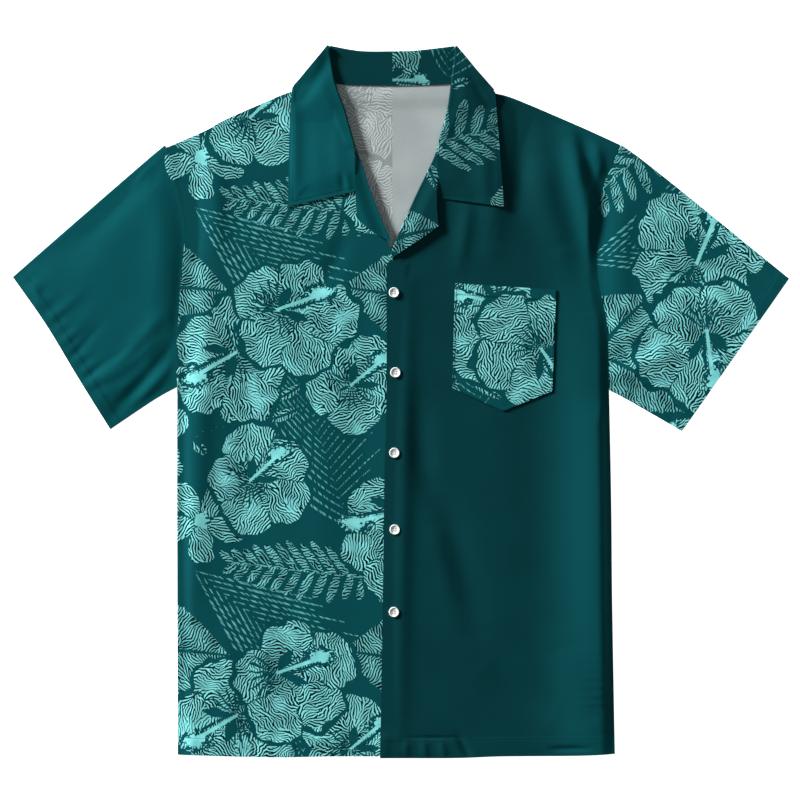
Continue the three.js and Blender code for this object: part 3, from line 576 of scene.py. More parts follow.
def placed(name, data):
    """A new object in the scene, with its data."""
    thing = bpy.data.objects.new(name, data)
    bpy.context.collection.objects.link(thing)
    return thing


class Shell:
    """One piece of cloth: closed walls made from an outer and an inner grid of points."""

    def __init__(self, name):
        self.name = name
        self.points = []
        self.faces = []
        self.sides = []
        self.prints = []
        self.count = 0

    def add(self, outer, inner, prints=None, rim=("low", "high", "left", "right"), side=0):
        """side is the material of the outer grid, and the inner grid takes the next one."""
        rows, columns = outer.shape[:2]
        if prints is None:
            prints = outer[..., :2]
        index = self.count + np.arange(rows * columns).reshape(rows, columns)
        below = index + rows * columns
        quads = np.stack([index[:-1, :-1], index[:-1, 1:], index[1:, 1:], index[1:, :-1]], -1).reshape(-1, 4)
        inside = np.stack([below[:-1, :-1], below[1:, :-1], below[1:, 1:], below[:-1, 1:]], -1).reshape(-1, 4)
        edges = {
            "low": np.stack([index[0, 1:], index[0, :-1], below[0, :-1], below[0, 1:]], -1),
            "high": np.stack([index[-1, :-1], index[-1, 1:], below[-1, 1:], below[-1, :-1]], -1),
            "left": np.stack([index[:-1, 0], index[1:, 0], below[1:, 0], below[:-1, 0]], -1),
            "right": np.stack([index[1:, -1], index[:-1, -1], below[:-1, -1], below[1:, -1]], -1),
        }
        lists = [quads, inside, *[edges[k] for k in rim]]
        self.faces.append(np.concatenate(lists))
        self.sides += [side] * len(quads) + [side + 1] * len(inside)
        self.sides += [side] * sum(len(edges[k]) for k in rim)
        self.points += [outer.reshape(-1, 3), inner.reshape(-1, 3)]
        self.prints += [prints.reshape(-1, 2)] * 2
        self.count += 2 * rows * columns

    def make(self, materials, replaces):
        points = np.concatenate(self.points)
        faces = np.concatenate(self.faces)
        prints = np.concatenate(self.prints)
        sides = np.array(self.sides)
        mesh = bpy.data.meshes.new(self.name)
        mesh.vertices.add(len(points))
        mesh.vertices.foreach_set("co", (points * MM).astype(np.float32).ravel())
        mesh.loops.add(4 * len(faces))
        mesh.loops.foreach_set("vertex_index", faces.astype(np.int32).ravel())
        mesh.polygons.add(len(faces))
        mesh.polygons.foreach_set("loop_start", np.arange(0, 4 * len(faces), 4, dtype=np.int32))
        mesh.polygons.foreach_set("material_index", sides.astype(np.int32))
        mesh.update(calc_edges=True)
        mesh.shade_smooth()
        mesh.set_sharp_from_angle(angle=math.radians(SHARP_CLOTH))
        for material in materials:
            mesh.materials.append(material)
        store(mesh, "cloth", "POINT", raised(prints[None], 0)[0] * MM)
        thing = placed(self.name, mesh)
        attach(thing, "root")
        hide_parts(*replaces)
        return thing


def store(mesh, name, domain, values):
    attribute = mesh.attributes.new(name, "FLOAT_VECTOR", domain)
    attribute.data.foreach_set("vector", np.asarray(values, np.float32).ravel())


# Panels


def roll_curve(side, low, high):
    return between_heights(side["roll"], low, high)


def to_neck(side, y):
    """How far the neck seam lies from the roll line at a height."""
    rows = np.array(side["roll"])
    return np.interp(y, rows[:, 1], rows[:, 2])


def neck_curve(side):
    """The front's neck edge, from the break up to the shoulder, set in from the roll line."""
    end = np.array(side["shoulder"][0])
    curve = roll_curve(side, side["roll"][0][1], end[1] - 12)
    inset = curve.copy()
    inset[:, 0] += side["sign"] * (to_neck(side, curve[:, 1]) + 0.9)
    return np.vstack([inset, end + [side["sign"] * 0.9, -1]])


def front_plan(side, step):
    arm = dense(side["armhole"])
    seam = dense(side["side_seam"])
    level = arm[0, 1]
    low = between_heights(side["edge"], side["hem"][0][1], level)
    high = between_heights(side["edge"], level, side["edge"][-1][1])
    neck = neck_curve(side)
    high = np.vstack([high[:-1], neck[0]])
    shoulder = dense(side["shoulder"])
    shoulder[0] = neck[-1]
    hem = dense(side["hem"])
    split = 0.58
    rows = np.concatenate([
        split * spread(length_of(seam), step, fine_start=HEM_DEPTH + 6),
        split + (1 - split) * spread(length_of(arm), step)[1:],
    ])
    columns = spread(length_of(hem), step, fine_start=4, fine_end=4)
    neck_start = split + (1 - split) / 3
    left = chained([(low, split), (high, neck_start), (neck, 1)], rows)
    right = chained([(seam, split), (arm, 1)], rows)
    bottom, top = along(hem, columns), along(shoulder, columns)
    bottom[0], bottom[-1], top[0], top[-1] = left[0], right[0], left[-1], right[-1]
    return patch(bottom, top, left, right, columns, rows)


def back_plan(side, step):
    arm = dense(side["armhole"])
    seam = dense(side["side_seam"])
    hem_y = side["hem"][0][1]
    level = arm[0, 1]
    centre_low = np.array([(CENTRE_BACK, hem_y), (CENTRE_BACK, level)])
    centre_high = np.array([(CENTRE_BACK, level), (CENTRE_BACK, side["back_neck"][0][1])])
    split = 0.55
    rows = np.concatenate([
        split * spread(length_of(seam), step),
        split + (1 - split) * spread(length_of(arm), step)[1:],
    ])
    columns = spread(abs(side["hem"][-1][0] - CENTRE_BACK), step, fine_end=3)
    hem = dense(side["hem"])
    hem = hem[side["sign"] * (hem[:, 0] - CENTRE_BACK) > 0]
    hem = np.vstack([[(CENTRE_BACK, hem_y)], hem])
    top = chained([(dense(side["back_neck"]), 0.4), (dense(side["shoulder"]), 1)], columns)
    left = chained([(centre_low, split), (centre_high, 1)], rows)
    right = chained([(seam, split), (arm, 1)], rows)
    bottom = along(hem, columns)
    bottom[0], bottom[-1], top[0], top[-1] = left[0], right[0], left[-1], right[-1]
    return patch(bottom, top, left, right, columns, rows)


def seam_curves(side):
    return [dense(side[name]) for name in ("side_seam", "armhole", "shoulder")]


def nearest(curves, plan):
    return np.min([distance_to(curve, plan) for curve in curves], axis=0)


def hem_step(distance, depth):
    """The extra height of a turned hem, with a groove where it is stitched."""
    groove = np.exp(-(((distance - depth + STITCH_INSET) / 0.9) ** 2))
    return 0.4 * smooth(depth - distance, -1.2, 0.8) - 0.3 * groove


def front_height(side, name, plan):
    """Underside of a front: it lies on the back, lifts off it away from the seams, and carries the folds."""
    to_side, *to_others = [distance_to(curve, plan) for curve in seam_curves(side)]
    away = np.min([to_side, *to_others], axis=0)
    inside = smooth(np.min([SIDE_SHARE * to_side, *to_others], axis=0), 0, LOFT_REACH)
    near = smooth(away, 0, 12)
    below_collar = smooth(300 - plan[..., 1], 0, 60)
    lift = LOFT * (0.4 + 0.6 * below_collar) * inside
    folds = fold_height(FOLDS[name], plan) * near * (0.75 + 0.25 * below_collar)
    base = PANEL + CLEAR + np.maximum(0, lift + 0.25 + folds)
    base -= 0.25 * (1 - smooth(away, 0, 2.5))
    hem = distance_to(dense(side["hem"]), plan)
    return base + hem_step(hem, HEM_DEPTH)


# Sleeves


def sleeve_grids(side, name):
    """One cloth folded along the sleeve's top edge: outer and inner grid, and where the print lies on it."""
    sign = side["sign"]
    seam = dense(side["armhole"])
    top = offset(dense(side["sleeve_top"]), -sign * FOLD_RADIUS)
    under = dense(side["underarm"])
    cuff = dense(side["cuff"])
    rows = spread(length_of(under), FINE, fine_end=CUFF_DEPTH + 4)
    columns = spread(length_of(seam), FINE)
    low, high = along(seam, columns), along(cuff, columns)
    left, right = along(under, rows), along(top, rows)
    low[-1], high[-1] = right[0], right[-1]
    left[0], left[-1] = low[0], high[0]
    plan = patch(low, high, left, right, columns, rows)
    away = nearest([seam, top, under], plan)
    inside = smooth(away, 0, LOFT_REACH * 0.8)
    near = smooth(away, 0, 10)
    to_cuff = distance_to(cuff, plan)
    count, height = PUCKERS[name]
    wave = np.sin(2 * np.pi * count * columns + 1.7 * np.sin(9 * columns + 2))
    wave += 0.5 * np.sin(41 * columns + 1)
    puckers = height * wave[None] * np.exp(-(((to_cuff - CUFF_DEPTH) / 12) ** 2)) * near
    lift = LOFT * inside + fold_height(FOLDS["sleeve_" + name], plan) * near + 0.5 * puckers
    z = PANEL + CLEAR + np.maximum(0, lift + 0.15) + hem_step(to_cuff, CUFF_DEPTH)
    z -= 0.12 * (1 - smooth(away, 0, 2.5))
    upper = raised(plan, z)
    lower = raised(plan, 0)
    fold = upper[:, -1]
    run = np.gradient(plan[:, -1], axis=0)
    run /= np.hypot(run[:, 0], run[:, 1])[:, None]
    out = sign * np.stack([-run[:, 1], run[:, 0], np.zeros(len(run))], 1)
    middle = (fold[:, 2] + PANEL) / 2
    angles = -math.pi / 2 + math.pi * np.arange(1, NOSE_STEPS) / NOSE_STEPS

    def nose(reach, half):
        base = fold.copy()
        base[:, 2] = middle
        up = np.array([0, 0, 1.0])
        bent = [base + out * reach * math.cos(a) + up * (half * math.sin(a))[:, None] for a in angles]
        return np.stack(bent, 1)

    outer = np.concatenate([lower, nose(FOLD_RADIUS, middle), lifted(upper, PANEL)[:, ::-1]], 1)
    inner_nose = nose(FOLD_INSIDE, (fold[:, 2] - PANEL) / 2)
    inner = np.concatenate([lifted(lower, PANEL), inner_nose, upper[:, ::-1]], 1)
    prints = outer[..., :2].copy()
    hidden = plan.shape[1]
    prints[:, :hidden] = prints[:, :hidden] * [-1, 1] + [sign * UNDER_PRINT[0], UNDER_PRINT[1]]
    return outer, inner, prints


# Collar


def crease(side):
    """The crease over the shoulder, from the collar's outer edge up to its top corner, set in by the bend."""
    corner = np.array(side["roll"][-1][:2])
    end = np.array(side["crease_end"])
    run = (end - corner) / np.hypot(*(end - corner))
    out = side["sign"] * np.array([-run[1], run[0]])
    set_in = out * BACK_CREASE_REACH
    return np.array([end - set_in, corner - set_in + run * ROLL_RADIUS]), out


def half_turn(top, bottom, out, reach, steps):
    """Bends round a fold from a top row of points to a bottom row. Both rows share their places in plan."""
    middle = (top[:, 2] + bottom[:, 2]) / 2
    half = (top[:, 2] - bottom[:, 2]) / 2
    rows = []
    for k in range(1, steps):
        angle = math.pi / 2 - math.pi * k / steps
        row = top.copy()
        row[:, :2] += out * reach * math.cos(angle)
        row[:, 2] = middle + half * math.sin(angle)
        rows.append(row)
    return rows


def front_stand(side, roll_rows, fold_rows, below):
    """The stand in front of the neck, from the roll line to the neck seam."""
    neck = roll_rows + np.stack([side["sign"] * to_neck(side, roll_rows[:, 1]), np.zeros(len(roll_rows))], 1)
    end = np.array(side["shoulder"][0])
    pull = smooth(roll_rows[:, 1], end[1] - 22, roll_rows[-1, 1])[:, None]
    neck = neck * (1 - pull) + end * pull
    shares = np.linspace(0, 1, 9)[None, :, None]
    plan = fold_rows[:, None] * (1 - shares) + neck[:, None] * shares
    rise = smooth(plan[..., 1], *STAND_RISE)
    z = (PANEL + CLEAR) * (1 - rise) + STAND_FRONT * rise
    z = np.maximum(z, below.under(plan, 2.0) + CLEAR)
    z[:, :2] = z[:, 1:2]
    return raised(plan, z)


def leaf_sheet(name, plan, edges, folds, valley_line, below):
    """The leaf's underside: a soft crown that thins out at the edges, with a valley along the crease."""
    rise = smooth(plan[..., 1], *LEAF_RISE)
    to_edge = nearest(edges, plan)
    to_roll = distance_to(folds, plan)
    crown = LEAF_CROWN * smooth(to_edge, 0, 24) * smooth(to_roll, 0, 16)
    crown = crown + LEAF_TILT * (1 - to_roll / LEAF_WIDTH)
    valley = distance_to(valley_line, plan)
    crown = crown - 1.3 * np.exp(-((valley / 9) ** 2)) * smooth(to_edge, 0, 8)
    leaf_folds = fold_height(LEAF_FOLDS[name], plan) * smooth(to_edge, 0, 6)
    floor = below.under(plan, 4.0) + CLEAR
    base = np.maximum(floor, (1 - rise) * 2.0 + rise * LEAF_AT_NECK)
    return raised(plan, base + np.maximum(0, crown + leaf_folds) + 0.2 * smooth(to_roll, 14, 0))


def fall_sheet(side, crease_line, columns):
    """The fall behind the neck, the fold line at its top, and the direction from there to its free edge."""
    steps = np.linspace(0, 1, FALL_ROWS)
    top_rows = along(dense(side["top_edge"])[::-1], steps)
    fall_rows = along(dense(side["fall"])[::-1], steps)
    to_fall = fall_rows - top_rows
    to_fall /= np.hypot(to_fall[:, 0], to_fall[:, 1])[:, None]
    back_folds = top_rows + to_fall * ROLL_RADIUS
    back_folds[0], fall_rows[0] = crease_line[1], crease_line[0]
    shares = columns[None, :, None]
    plan = fall_rows[:, None] * (1 - shares) + back_folds[:, None] * shares
    return raised(plan, 0), back_folds, to_fall


def back_stand(side, fall, back_folds, to_fall):
    """The stand behind the neck, with its turn up from the fall."""
    neck = along(dense(side["back_neck"])[::-1], np.linspace(0, 1, FALL_ROWS))
    shares = np.linspace(0, 1, 17)[None, :, None]
    stand = raised(back_folds[:, None] * (1 - shares) + neck[:, None] * shares, STAND_BACK)
    low_outer, low_inner = fall[:, -1], lifted(fall, COLLAR)[:, -1]
    outer = half_turn(lifted(stand, COLLAR)[:, 0], low_outer, -to_fall, ROLL_RADIUS, NOSE_STEPS)
    inner = half_turn(stand[:, 0], low_inner, -to_fall, ROLL_INSIDE, NOSE_STEPS)
    return (
        np.concatenate([np.stack([low_outer, *outer[::-1]], 1), lifted(stand, COLLAR)], 1),
        np.concatenate([np.stack([low_inner, *inner[::-1]], 1), stand], 1),
    )


def collar_grids(side, name, below):
    """Outer and inner grids of the leaf with the fall, of the front stand and of the stand behind the neck."""
    sign = side["sign"]
    crease_line, out = crease(side)
    corner = np.array(side["roll"][-1][:2])
    roll = roll_curve(side, side["gorge_top"], corner[1])
    folds = roll + [sign * ROLL_RADIUS, 0]
    folds[-1] = crease_line[1]
    notch = np.array(side["notch"])
    tucked = [notch + share * (folds[0] - notch) + [-sign * GORGE_TUCK, 0] for share in (0.3, 0.9)]
    gorge = np.array([notch, *tucked, folds[0]])
    outer_edge = dense(side["outer"])
    outer_edge[-1] = crease_line[0]
    bottom = np.array([side["tip"], notch])
    split = 0.3
    rows = np.concatenate([
        split * spread(length_of(gorge), 2.2, fine_start=3),
        split + (1 - split) * spread(length_of(roll), 2.2)[1:],
    ])
    columns = spread(length_of(bottom), 2.2, fine_start=3)
    left = along(outer_edge, rows)
    right = chained([(gorge, split), (folds, 1)], rows)
    plan = patch(along(bottom, columns), along(crease_line, columns), left, right, columns, rows)
    on_roll = rows >= split - 1e-9
    roll_rows = chained([(gorge, split), (roll, 1)], rows)[on_roll]
    stand = front_stand(side, roll_rows, right[on_roll], below)
    beneath = below.copied().lay(lifted(stand, COLLAR))
    valley_line = crease_line + (np.array([0, -9.0]) - out * 3)
    leaf = leaf_sheet(name, plan, [outer_edge, bottom], folds, valley_line, beneath)

    # Over the shoulder, from the leaf down to the fall under the back
    fall, back_folds, to_fall = fall_sheet(side, crease_line, columns)
    last = leaf[-1]
    turn_outer = half_turn(lifted(last, COLLAR), fall[0], out, BACK_CREASE_REACH, NOSE_STEPS)
    turn_inner = half_turn(last, lifted(fall[0], COLLAR), out, BACK_CREASE_REACH - COLLAR, NOSE_STEPS)
    outer = np.concatenate([lifted(leaf, COLLAR), np.stack(turn_outer), fall])
    inner = np.concatenate([leaf, np.stack(turn_inner), lifted(fall, COLLAR)])

    # The front stand's grid starts at the roll
    edge = leaf[on_roll, -1]
    inwards = np.array([-sign, 0.0])
    roll_outer = half_turn(lifted(edge, COLLAR), stand[:, 0], inwards, ROLL_RADIUS, NOSE_STEPS)
    roll_inner = half_turn(edge, lifted(stand[:, 0], COLLAR), inwards, ROLL_INSIDE, NOSE_STEPS)
    front = (
        np.concatenate([np.stack([lifted(edge, COLLAR), *roll_outer], 1), stand], 1),
        np.concatenate([np.stack([edge, *roll_inner], 1), lifted(stand, COLLAR)], 1),
    )
    behind = back_stand(side, fall, back_folds, to_fall)
    return {"leaf": (outer, inner), "front": front, "behind": behind, "top": lifted(leaf, COLLAR)}


# Lapels


def lapel_grids(side, below):
    """The turned-back front edge. Its roll edge bends down to the front below."""
    sign = side["sign"]
    roll = roll_curve(side, side["lapel_end"], side["gorge_top"])[::-1]
    inner_edge = roll + [sign * LAPEL_LIP, 0]
    outer_edge = dense(side["lapel_outer"])
    outer_edge = outer_edge[outer_edge[:, 1] < side["lapel_outer"][0][1] - 1]
    outer_edge = np.vstack([inner_edge[0] + [sign * 0.6, 0], outer_edge])
    lower = dense(side["lapel_lower"])
    lower[0], lower[-1] = inner_edge[-1], outer_edge[-1]
    rows = spread(length_of(roll), 1.8)
    columns = spread(length_of(lower), 1.8, fine_end=3)
    high = np.array([inner_edge[0], outer_edge[0]])
    bottom, top = along(high, columns), along(lower, columns)
    plan = patch(bottom, top, along(inner_edge, rows), along(outer_edge, rows), columns, rows)
    z = below.under(plan, 3.0) + CLEAR
    crown = LAPEL_LIFT * smooth(distance_to(inner_edge, plan), 0, 16)
    sheet = raised(plan, z + crown)
    edge = sheet[:, :1]
    low = below.under(plan[:, :1] + [-sign * LAPEL_LIP, 0], 2.0)
    steps = 6
    lips_out, lips_in = [], []
    for k in range(steps):
        angle = math.pi * k / (2 * steps)
        out = np.array([-sign * LAPEL_LIP * math.cos(angle), 0, 0])
        height = (edge[..., 2] + COLLAR - low) * math.sin(angle)
        bent = edge + out
        bent[..., 2] = low + height
        lips_out.append(bent[:, 0])
        inside = edge + out * 0.35
        inside[..., 2] = low + (edge[..., 2] - low) * math.sin(angle)
        lips_in.append(inside[:, 0])
    outer = np.concatenate([np.stack(lips_out, 1), lifted(sheet, COLLAR)], 1)
    inner = np.concatenate([np.stack(lips_in, 1), sheet], 1)
    return outer, inner


# Pocket


def pocket_sheet(below):
    """The pocket's underside: it lies on the front, with a crown, turned edges and a hem at its top."""
    left = np.array([POCKET["low_left"], POCKET["top_left"]])
    right = np.array([POCKET["low_right"], POCKET["top_right"]])
    top = np.array([POCKET["top_left"], POCKET["top_right"]])
    low = np.array([POCKET["low_left"], POCKET["point"], POCKET["low_right"]])
    rows = spread(length_of(left), FINE, fine_start=5, fine_end=16)
    columns = spread(length_of(top), FINE, fine_start=5, fine_end=5)
    edges = [along(low, columns), along(top, columns), along(left, rows), along(right, rows)]
    plan = patch(*edges, columns, rows)
    to_edge = nearest([left, right, low], plan)
    to_top = distance_to(top, plan)
    z = below.under(plan, 3.0) + CLEAR
    z += 0.3 * np.exp(-(((to_edge - 1.0) / 1.4) ** 2)) + 0.5 * smooth(np.minimum(to_edge, to_top + 20), 1, 20)
    z += 0.35 * smooth(12 - to_top, -1, 1) * smooth(to_edge, 0, 3)
    return raised(plan, z)


# Stitches


def rows_at(sheet, depth):
    """Points at a distance from the first row of a sheet, measured along its columns."""
    steps = np.linalg.norm(np.diff(sheet, axis=0), axis=-1)
    run = np.vstack([np.zeros(sheet.shape[1]), np.cumsum(steps, axis=0)])
    return np.array([
        [np.interp(depth, run[:, k], sheet[:, k, i]) for i in range(3)] for k in range(sheet.shape[1])
    ])


def trimmed(line, start, end):
    """A line without what lies within a distance of its ends."""
    run = np.concatenate([[0], np.cumsum(np.linalg.norm(np.diff(line, axis=0), axis=1))])
    return line[(run >= start) & (run <= run[-1] - end)]


def sew(name, lines, length, material):
    """Raised stitches end to end along lines of points."""
    points, faces = [], []
    for line in lines:
        run = np.concatenate([[0], np.cumsum(np.linalg.norm(np.diff(line, axis=0), axis=1))])
        count = max(1, int(run[-1] / (length * STITCH_GAP)))
        middles = (np.arange(count) + 0.5) * run[-1] / count
        at = middles[:, None] + length * np.array([-0.5, -0.3, 0.3, 0.5])
        spots = np.stack([np.interp(at, run, line[:, i]) for i in range(3)], -1)
        heading = spots[:, 3] - spots[:, 0]
        sideways = np.stack([-heading[:, 1], heading[:, 0], np.zeros(count)], 1)
        sideways *= STITCH_WIDTH / 2 / np.hypot(heading[:, 0], heading[:, 1])[:, None]
        up = np.array([0, 0, STITCH_WIDTH * 0.6])
        sunk = np.array([0, 0, STITCH_WIDTH * 0.1])
        first = len(points)
        for k in range(count):
            a, b, c, d = spots[k]
            w = sideways[k]
            points += [a - sunk, b + w, b + up, b - w, c + w, c + up, c - w, d - sunk]
            n = first + 8 * k
            faces += [
                (n, n + 2, n + 1), (n, n + 3, n + 2), (n, n + 1, n + 3),
                (n + 1, n + 2, n + 5, n + 4), (n + 2, n + 3, n + 6, n + 5), (n + 3, n + 1, n + 4, n + 6),
                (n + 7, n + 4, n + 5), (n + 7, n + 5, n + 6), (n + 7, n + 6, n + 4),
            ]
    mesh = bpy.data.meshes.new(name)
    mesh.from_pydata([tuple(p * MM) for p in points], [], faces)
    mesh.materials.append(material)
    thing = placed(name, mesh)
    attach(thing, "root")
    return thing


# The print


def repeated(rows, count):
    """Rows whose second number, and throat where they have one, is shifted by whole repeats."""
    found = []
    for k in range(-count, count + 1):
        for row in rows:
            row = list(row)
            row[1] += k * REPEAT
            if len(row) == 8:
                row[4] += k * REPEAT
                row[6] += 0.37 * k
            found.append(row)
    return found


def turned(points, place, degrees, size):
    """Points in a motif's own frame, divided by its size."""
    a = np.radians(degrees)
    d = points - np.asarray(place)
    x = d[..., 0] * np.cos(a) + d[..., 1] * np.sin(a)
    y = d[..., 1] * np.cos(a) - d[..., 0] * np.sin(a)
    return x / size, y / size


def lay_print(mesh, table):
    """Gives each corner of each face its place in the motifs that lie there, for the shader to draw."""
    count = len(mesh.loops)
    corner = np.zeros(count, np.int32)
    mesh.loops.foreach_get("vertex_index", corner)
    plan = np.zeros(3 * len(mesh.vertices), np.float32)
    mesh.vertices.foreach_get("co", plan)
    corners = plan.reshape(-1, 3)[corner][:, :2].astype(float) / MM
    sizes = np.zeros(len(mesh.polygons), np.int32)
    mesh.polygons.foreach_get("loop_total", sizes)
    face_of = np.repeat(np.arange(len(sizes)), sizes)
    starts = np.concatenate([[0], np.cumsum(sizes)[:-1]])
    middles = np.add.reduceat(corners, starts, axis=0) / sizes[:, None]
    times = REPEATS if table == "front" else 0
    far = [9.0, 9.0, 1.0]

    def put(name, rows, chosen, frame):
        """frame gives a row's three numbers at some points."""
        values = np.tile(far, (count, 1))
        for k, row in enumerate(rows):
            mine = chosen[face_of] == k
            if mine.any():
                values[mine] = np.stack(np.broadcast_arrays(*frame(row, corners[mine])), 1)
        store(mesh, name, "CORNER", values)

    # Each face takes the two flowers whose petals or column's end lie nearest, the upper one on top
    blooms = repeated(BLOOMS[table], times)
    scores = []
    for x, y, radius, tx, ty, degrees, _, _ in blooms:
        a = math.radians(degrees)
        tip = np.array([tx + 0.85 * radius * math.cos(a), ty + 0.85 * radius * math.sin(a)])
        scores.append(np.minimum(np.hypot(*(middles - [x, y]).T) - radius * 1.05,
                                 np.hypot(*(middles - tip).T) - radius * 0.32))
    order = np.argsort(np.array(scores), axis=0)
    first, second = order[0], order[1]
    layers = np.array([row[7] for row in blooms])
    swap = (layers[second] > layers[first]) | ((layers[second] == layers[first]) & (second > first))
    above, below = np.where(swap, second, first), np.where(swap, first, second)
    for name, chosen in (("over", above), ("under", below)):
        put("petals_" + name, blooms, chosen,
            lambda row, at: (*turned(at, row[:2], row[5], row[2]), row[6]))
        put("throat_" + name, blooms, chosen,
            lambda row, at: (*turned(at, row[3:5], row[5], row[2]), row[2]))

    def choose(rows, reach):
        """The row whose middle lies nearest, counted from its reach."""
        if not rows:
            return np.full(len(middles), -1)
        away = [np.hypot(*(middles - spot).T) - r for spot, r in map(reach, rows)]
        return np.argmin(np.array(away), axis=0)

    def centre_of(row):
        a = math.radians(row[2])
        half = row[3] % FAN / 2
        return np.array([row[0] + half * math.cos(a), row[1] + half * math.sin(a)]), half

    stars = repeated(STARS[table], times)
    put("star", stars, choose(stars, lambda row: (np.array(row[:2]), row[2])),
        lambda row, at: (*turned(at, row[:2], row[3], row[2]), row[2]))
    leaves = repeated(LEAVES[table], times)
    put("leaf", leaves, choose(leaves, centre_of),
        lambda row, at: (*turned(at, row[:2], row[2], row[3]), row[3] + row[4]))
    ferns = repeated(FERNS[table], times)
    put("fern", ferns, choose(ferns, centre_of),
        lambda row, at: (*turned(at, row[:2], row[2], row[4]), round(10 * row[4]) + row[3] / row[4] / 100))
    palms = repeated(PALMS[table], times)
    put("palm", palms, choose(palms, centre_of),
        lambda row, at: (*turned(at, row[:2], row[2], PALM_PITCH), row[3] / PALM_PITCH))


# Numbers worked out in a shader


class Number:
    """An output of a node, which takes part in sums."""

    def __init__(self, shader, socket):
        self.shader = shader
        self.socket = socket

    def __add__(self, other):
        return self.shader.math("ADD", self, other)

    def __sub__(self, other):
        return self.shader.math("SUBTRACT", self, other)

    def __mul__(self, other):
        return self.shader.math("MULTIPLY", self, other)

    def __truediv__(self, other):
        return self.shader.math("DIVIDE", self, other)

    def __rsub__(self, other):
        return self.shader.math("SUBTRACT", other, self)

    def __lt__(self, other):
        return self.shader.math("LESS_THAN", self, other)

    def __gt__(self, other):
        return self.shader.math("GREATER_THAN", self, other)

    __radd__ = __add__
    __rmul__ = __mul__

    def size(self):
        return self.shader.math("ABSOLUTE", self)

    def sin(self):
        return self.shader.math("SINE", self)

    def cos(self):
        return self.shader.math("COSINE", self)

    def root(self):
        return self.shader.math("SQRT", self)

    def floor(self):
        return self.shader.math("FLOOR", self)

    def power(self, other):
        return self.shader.math("POWER", self, other)

    def kept(self, low, high):
        return self.shader.math("MINIMUM", self.shader.math("MAXIMUM", self, low), high)

    def ramp(self, low, high):
        """Smooth from 0 at low to 1 at high."""
        node = self.shader.new("ShaderNodeMapRange", interpolation_type="SMOOTHSTEP")
        for name, value in (("Value", self), ("From Min", low), ("From Max", high)):
            self.shader.put(value, node.inputs[name])
        return Number(self.shader, node.outputs["Result"])


class Shader:
    """Builds a material's nodes."""

    def __init__(self, name):
        self.material = bpy.data.materials.new(name)
        self.material.use_nodes = True
        self.tree = self.material.node_tree
        self.surface = self.tree.nodes["Principled BSDF"]

    def new(self, kind, **settings):
        node = self.tree.nodes.new(kind)
        for name, value in settings.items():
            setattr(node, name, value)
        return node

    def put(self, value, socket):
        if isinstance(value, Number):
            self.tree.links.new(value.socket, socket)
        elif isinstance(value, bpy.types.NodeSocket):
            self.tree.links.new(value, socket)
        else:
            socket.default_value = value

    def math(self, operation, *values):
        node = self.new("ShaderNodeMath", operation=operation)
        for k, value in enumerate(values):
            self.put(value, node.inputs[k])
        return Number(self, node.outputs[0])

    def angle(self, y, x):
        return self.math("ARCTAN2", y, x)

    def most(self, a, b):
        return self.math("MAXIMUM", a, b)

    def mixed(self, a, b, share):
        return a + (b - a) * share

    def attribute(self, name):
        node = self.new("ShaderNodeAttribute", attribute_name=name)
        split = self.new("ShaderNodeSeparateXYZ")
        self.tree.links.new(node.outputs["Vector"], split.inputs[0])
        return [Number(self, s) for s in split.outputs]

    def vector(self, x, y, z=0.0):
        node = self.new("ShaderNodeCombineXYZ")
        for value, socket in zip((x, y, z), node.inputs):
            self.put(value, socket)
        return node.outputs[0]

    def noise(self, vector, feature, detail=0.0):
        """Soft noise around a half, with features of the given size in the vector's own units."""
        node = self.new("ShaderNodeTexNoise")
        node.inputs["Scale"].default_value = 1 / feature
        node.inputs["Detail"].default_value = detail
        self.tree.links.new(vector, node.inputs["Vector"])
        return Number(self, node.outputs[0])

    def colour(self, low, high, share):
        """A colour between two, each a tuple or a socket."""
        node = self.new("ShaderNodeMix", data_type="RGBA")
        for value, socket in ((share, node.inputs[0]), (low, node.inputs[6]), (high, node.inputs[7])):
            self.put((*value, 1) if isinstance(value, tuple) else value, socket)
        return node.outputs[2]


# Motifs. Each gives where it is drawn in lines (fill), where it is inked all over (solid), where it hides
# what lies under it (cut), how its lines run (angle, at the place x, y in millimetres), how wide the light
# lines are (tone) and how bright (glow).


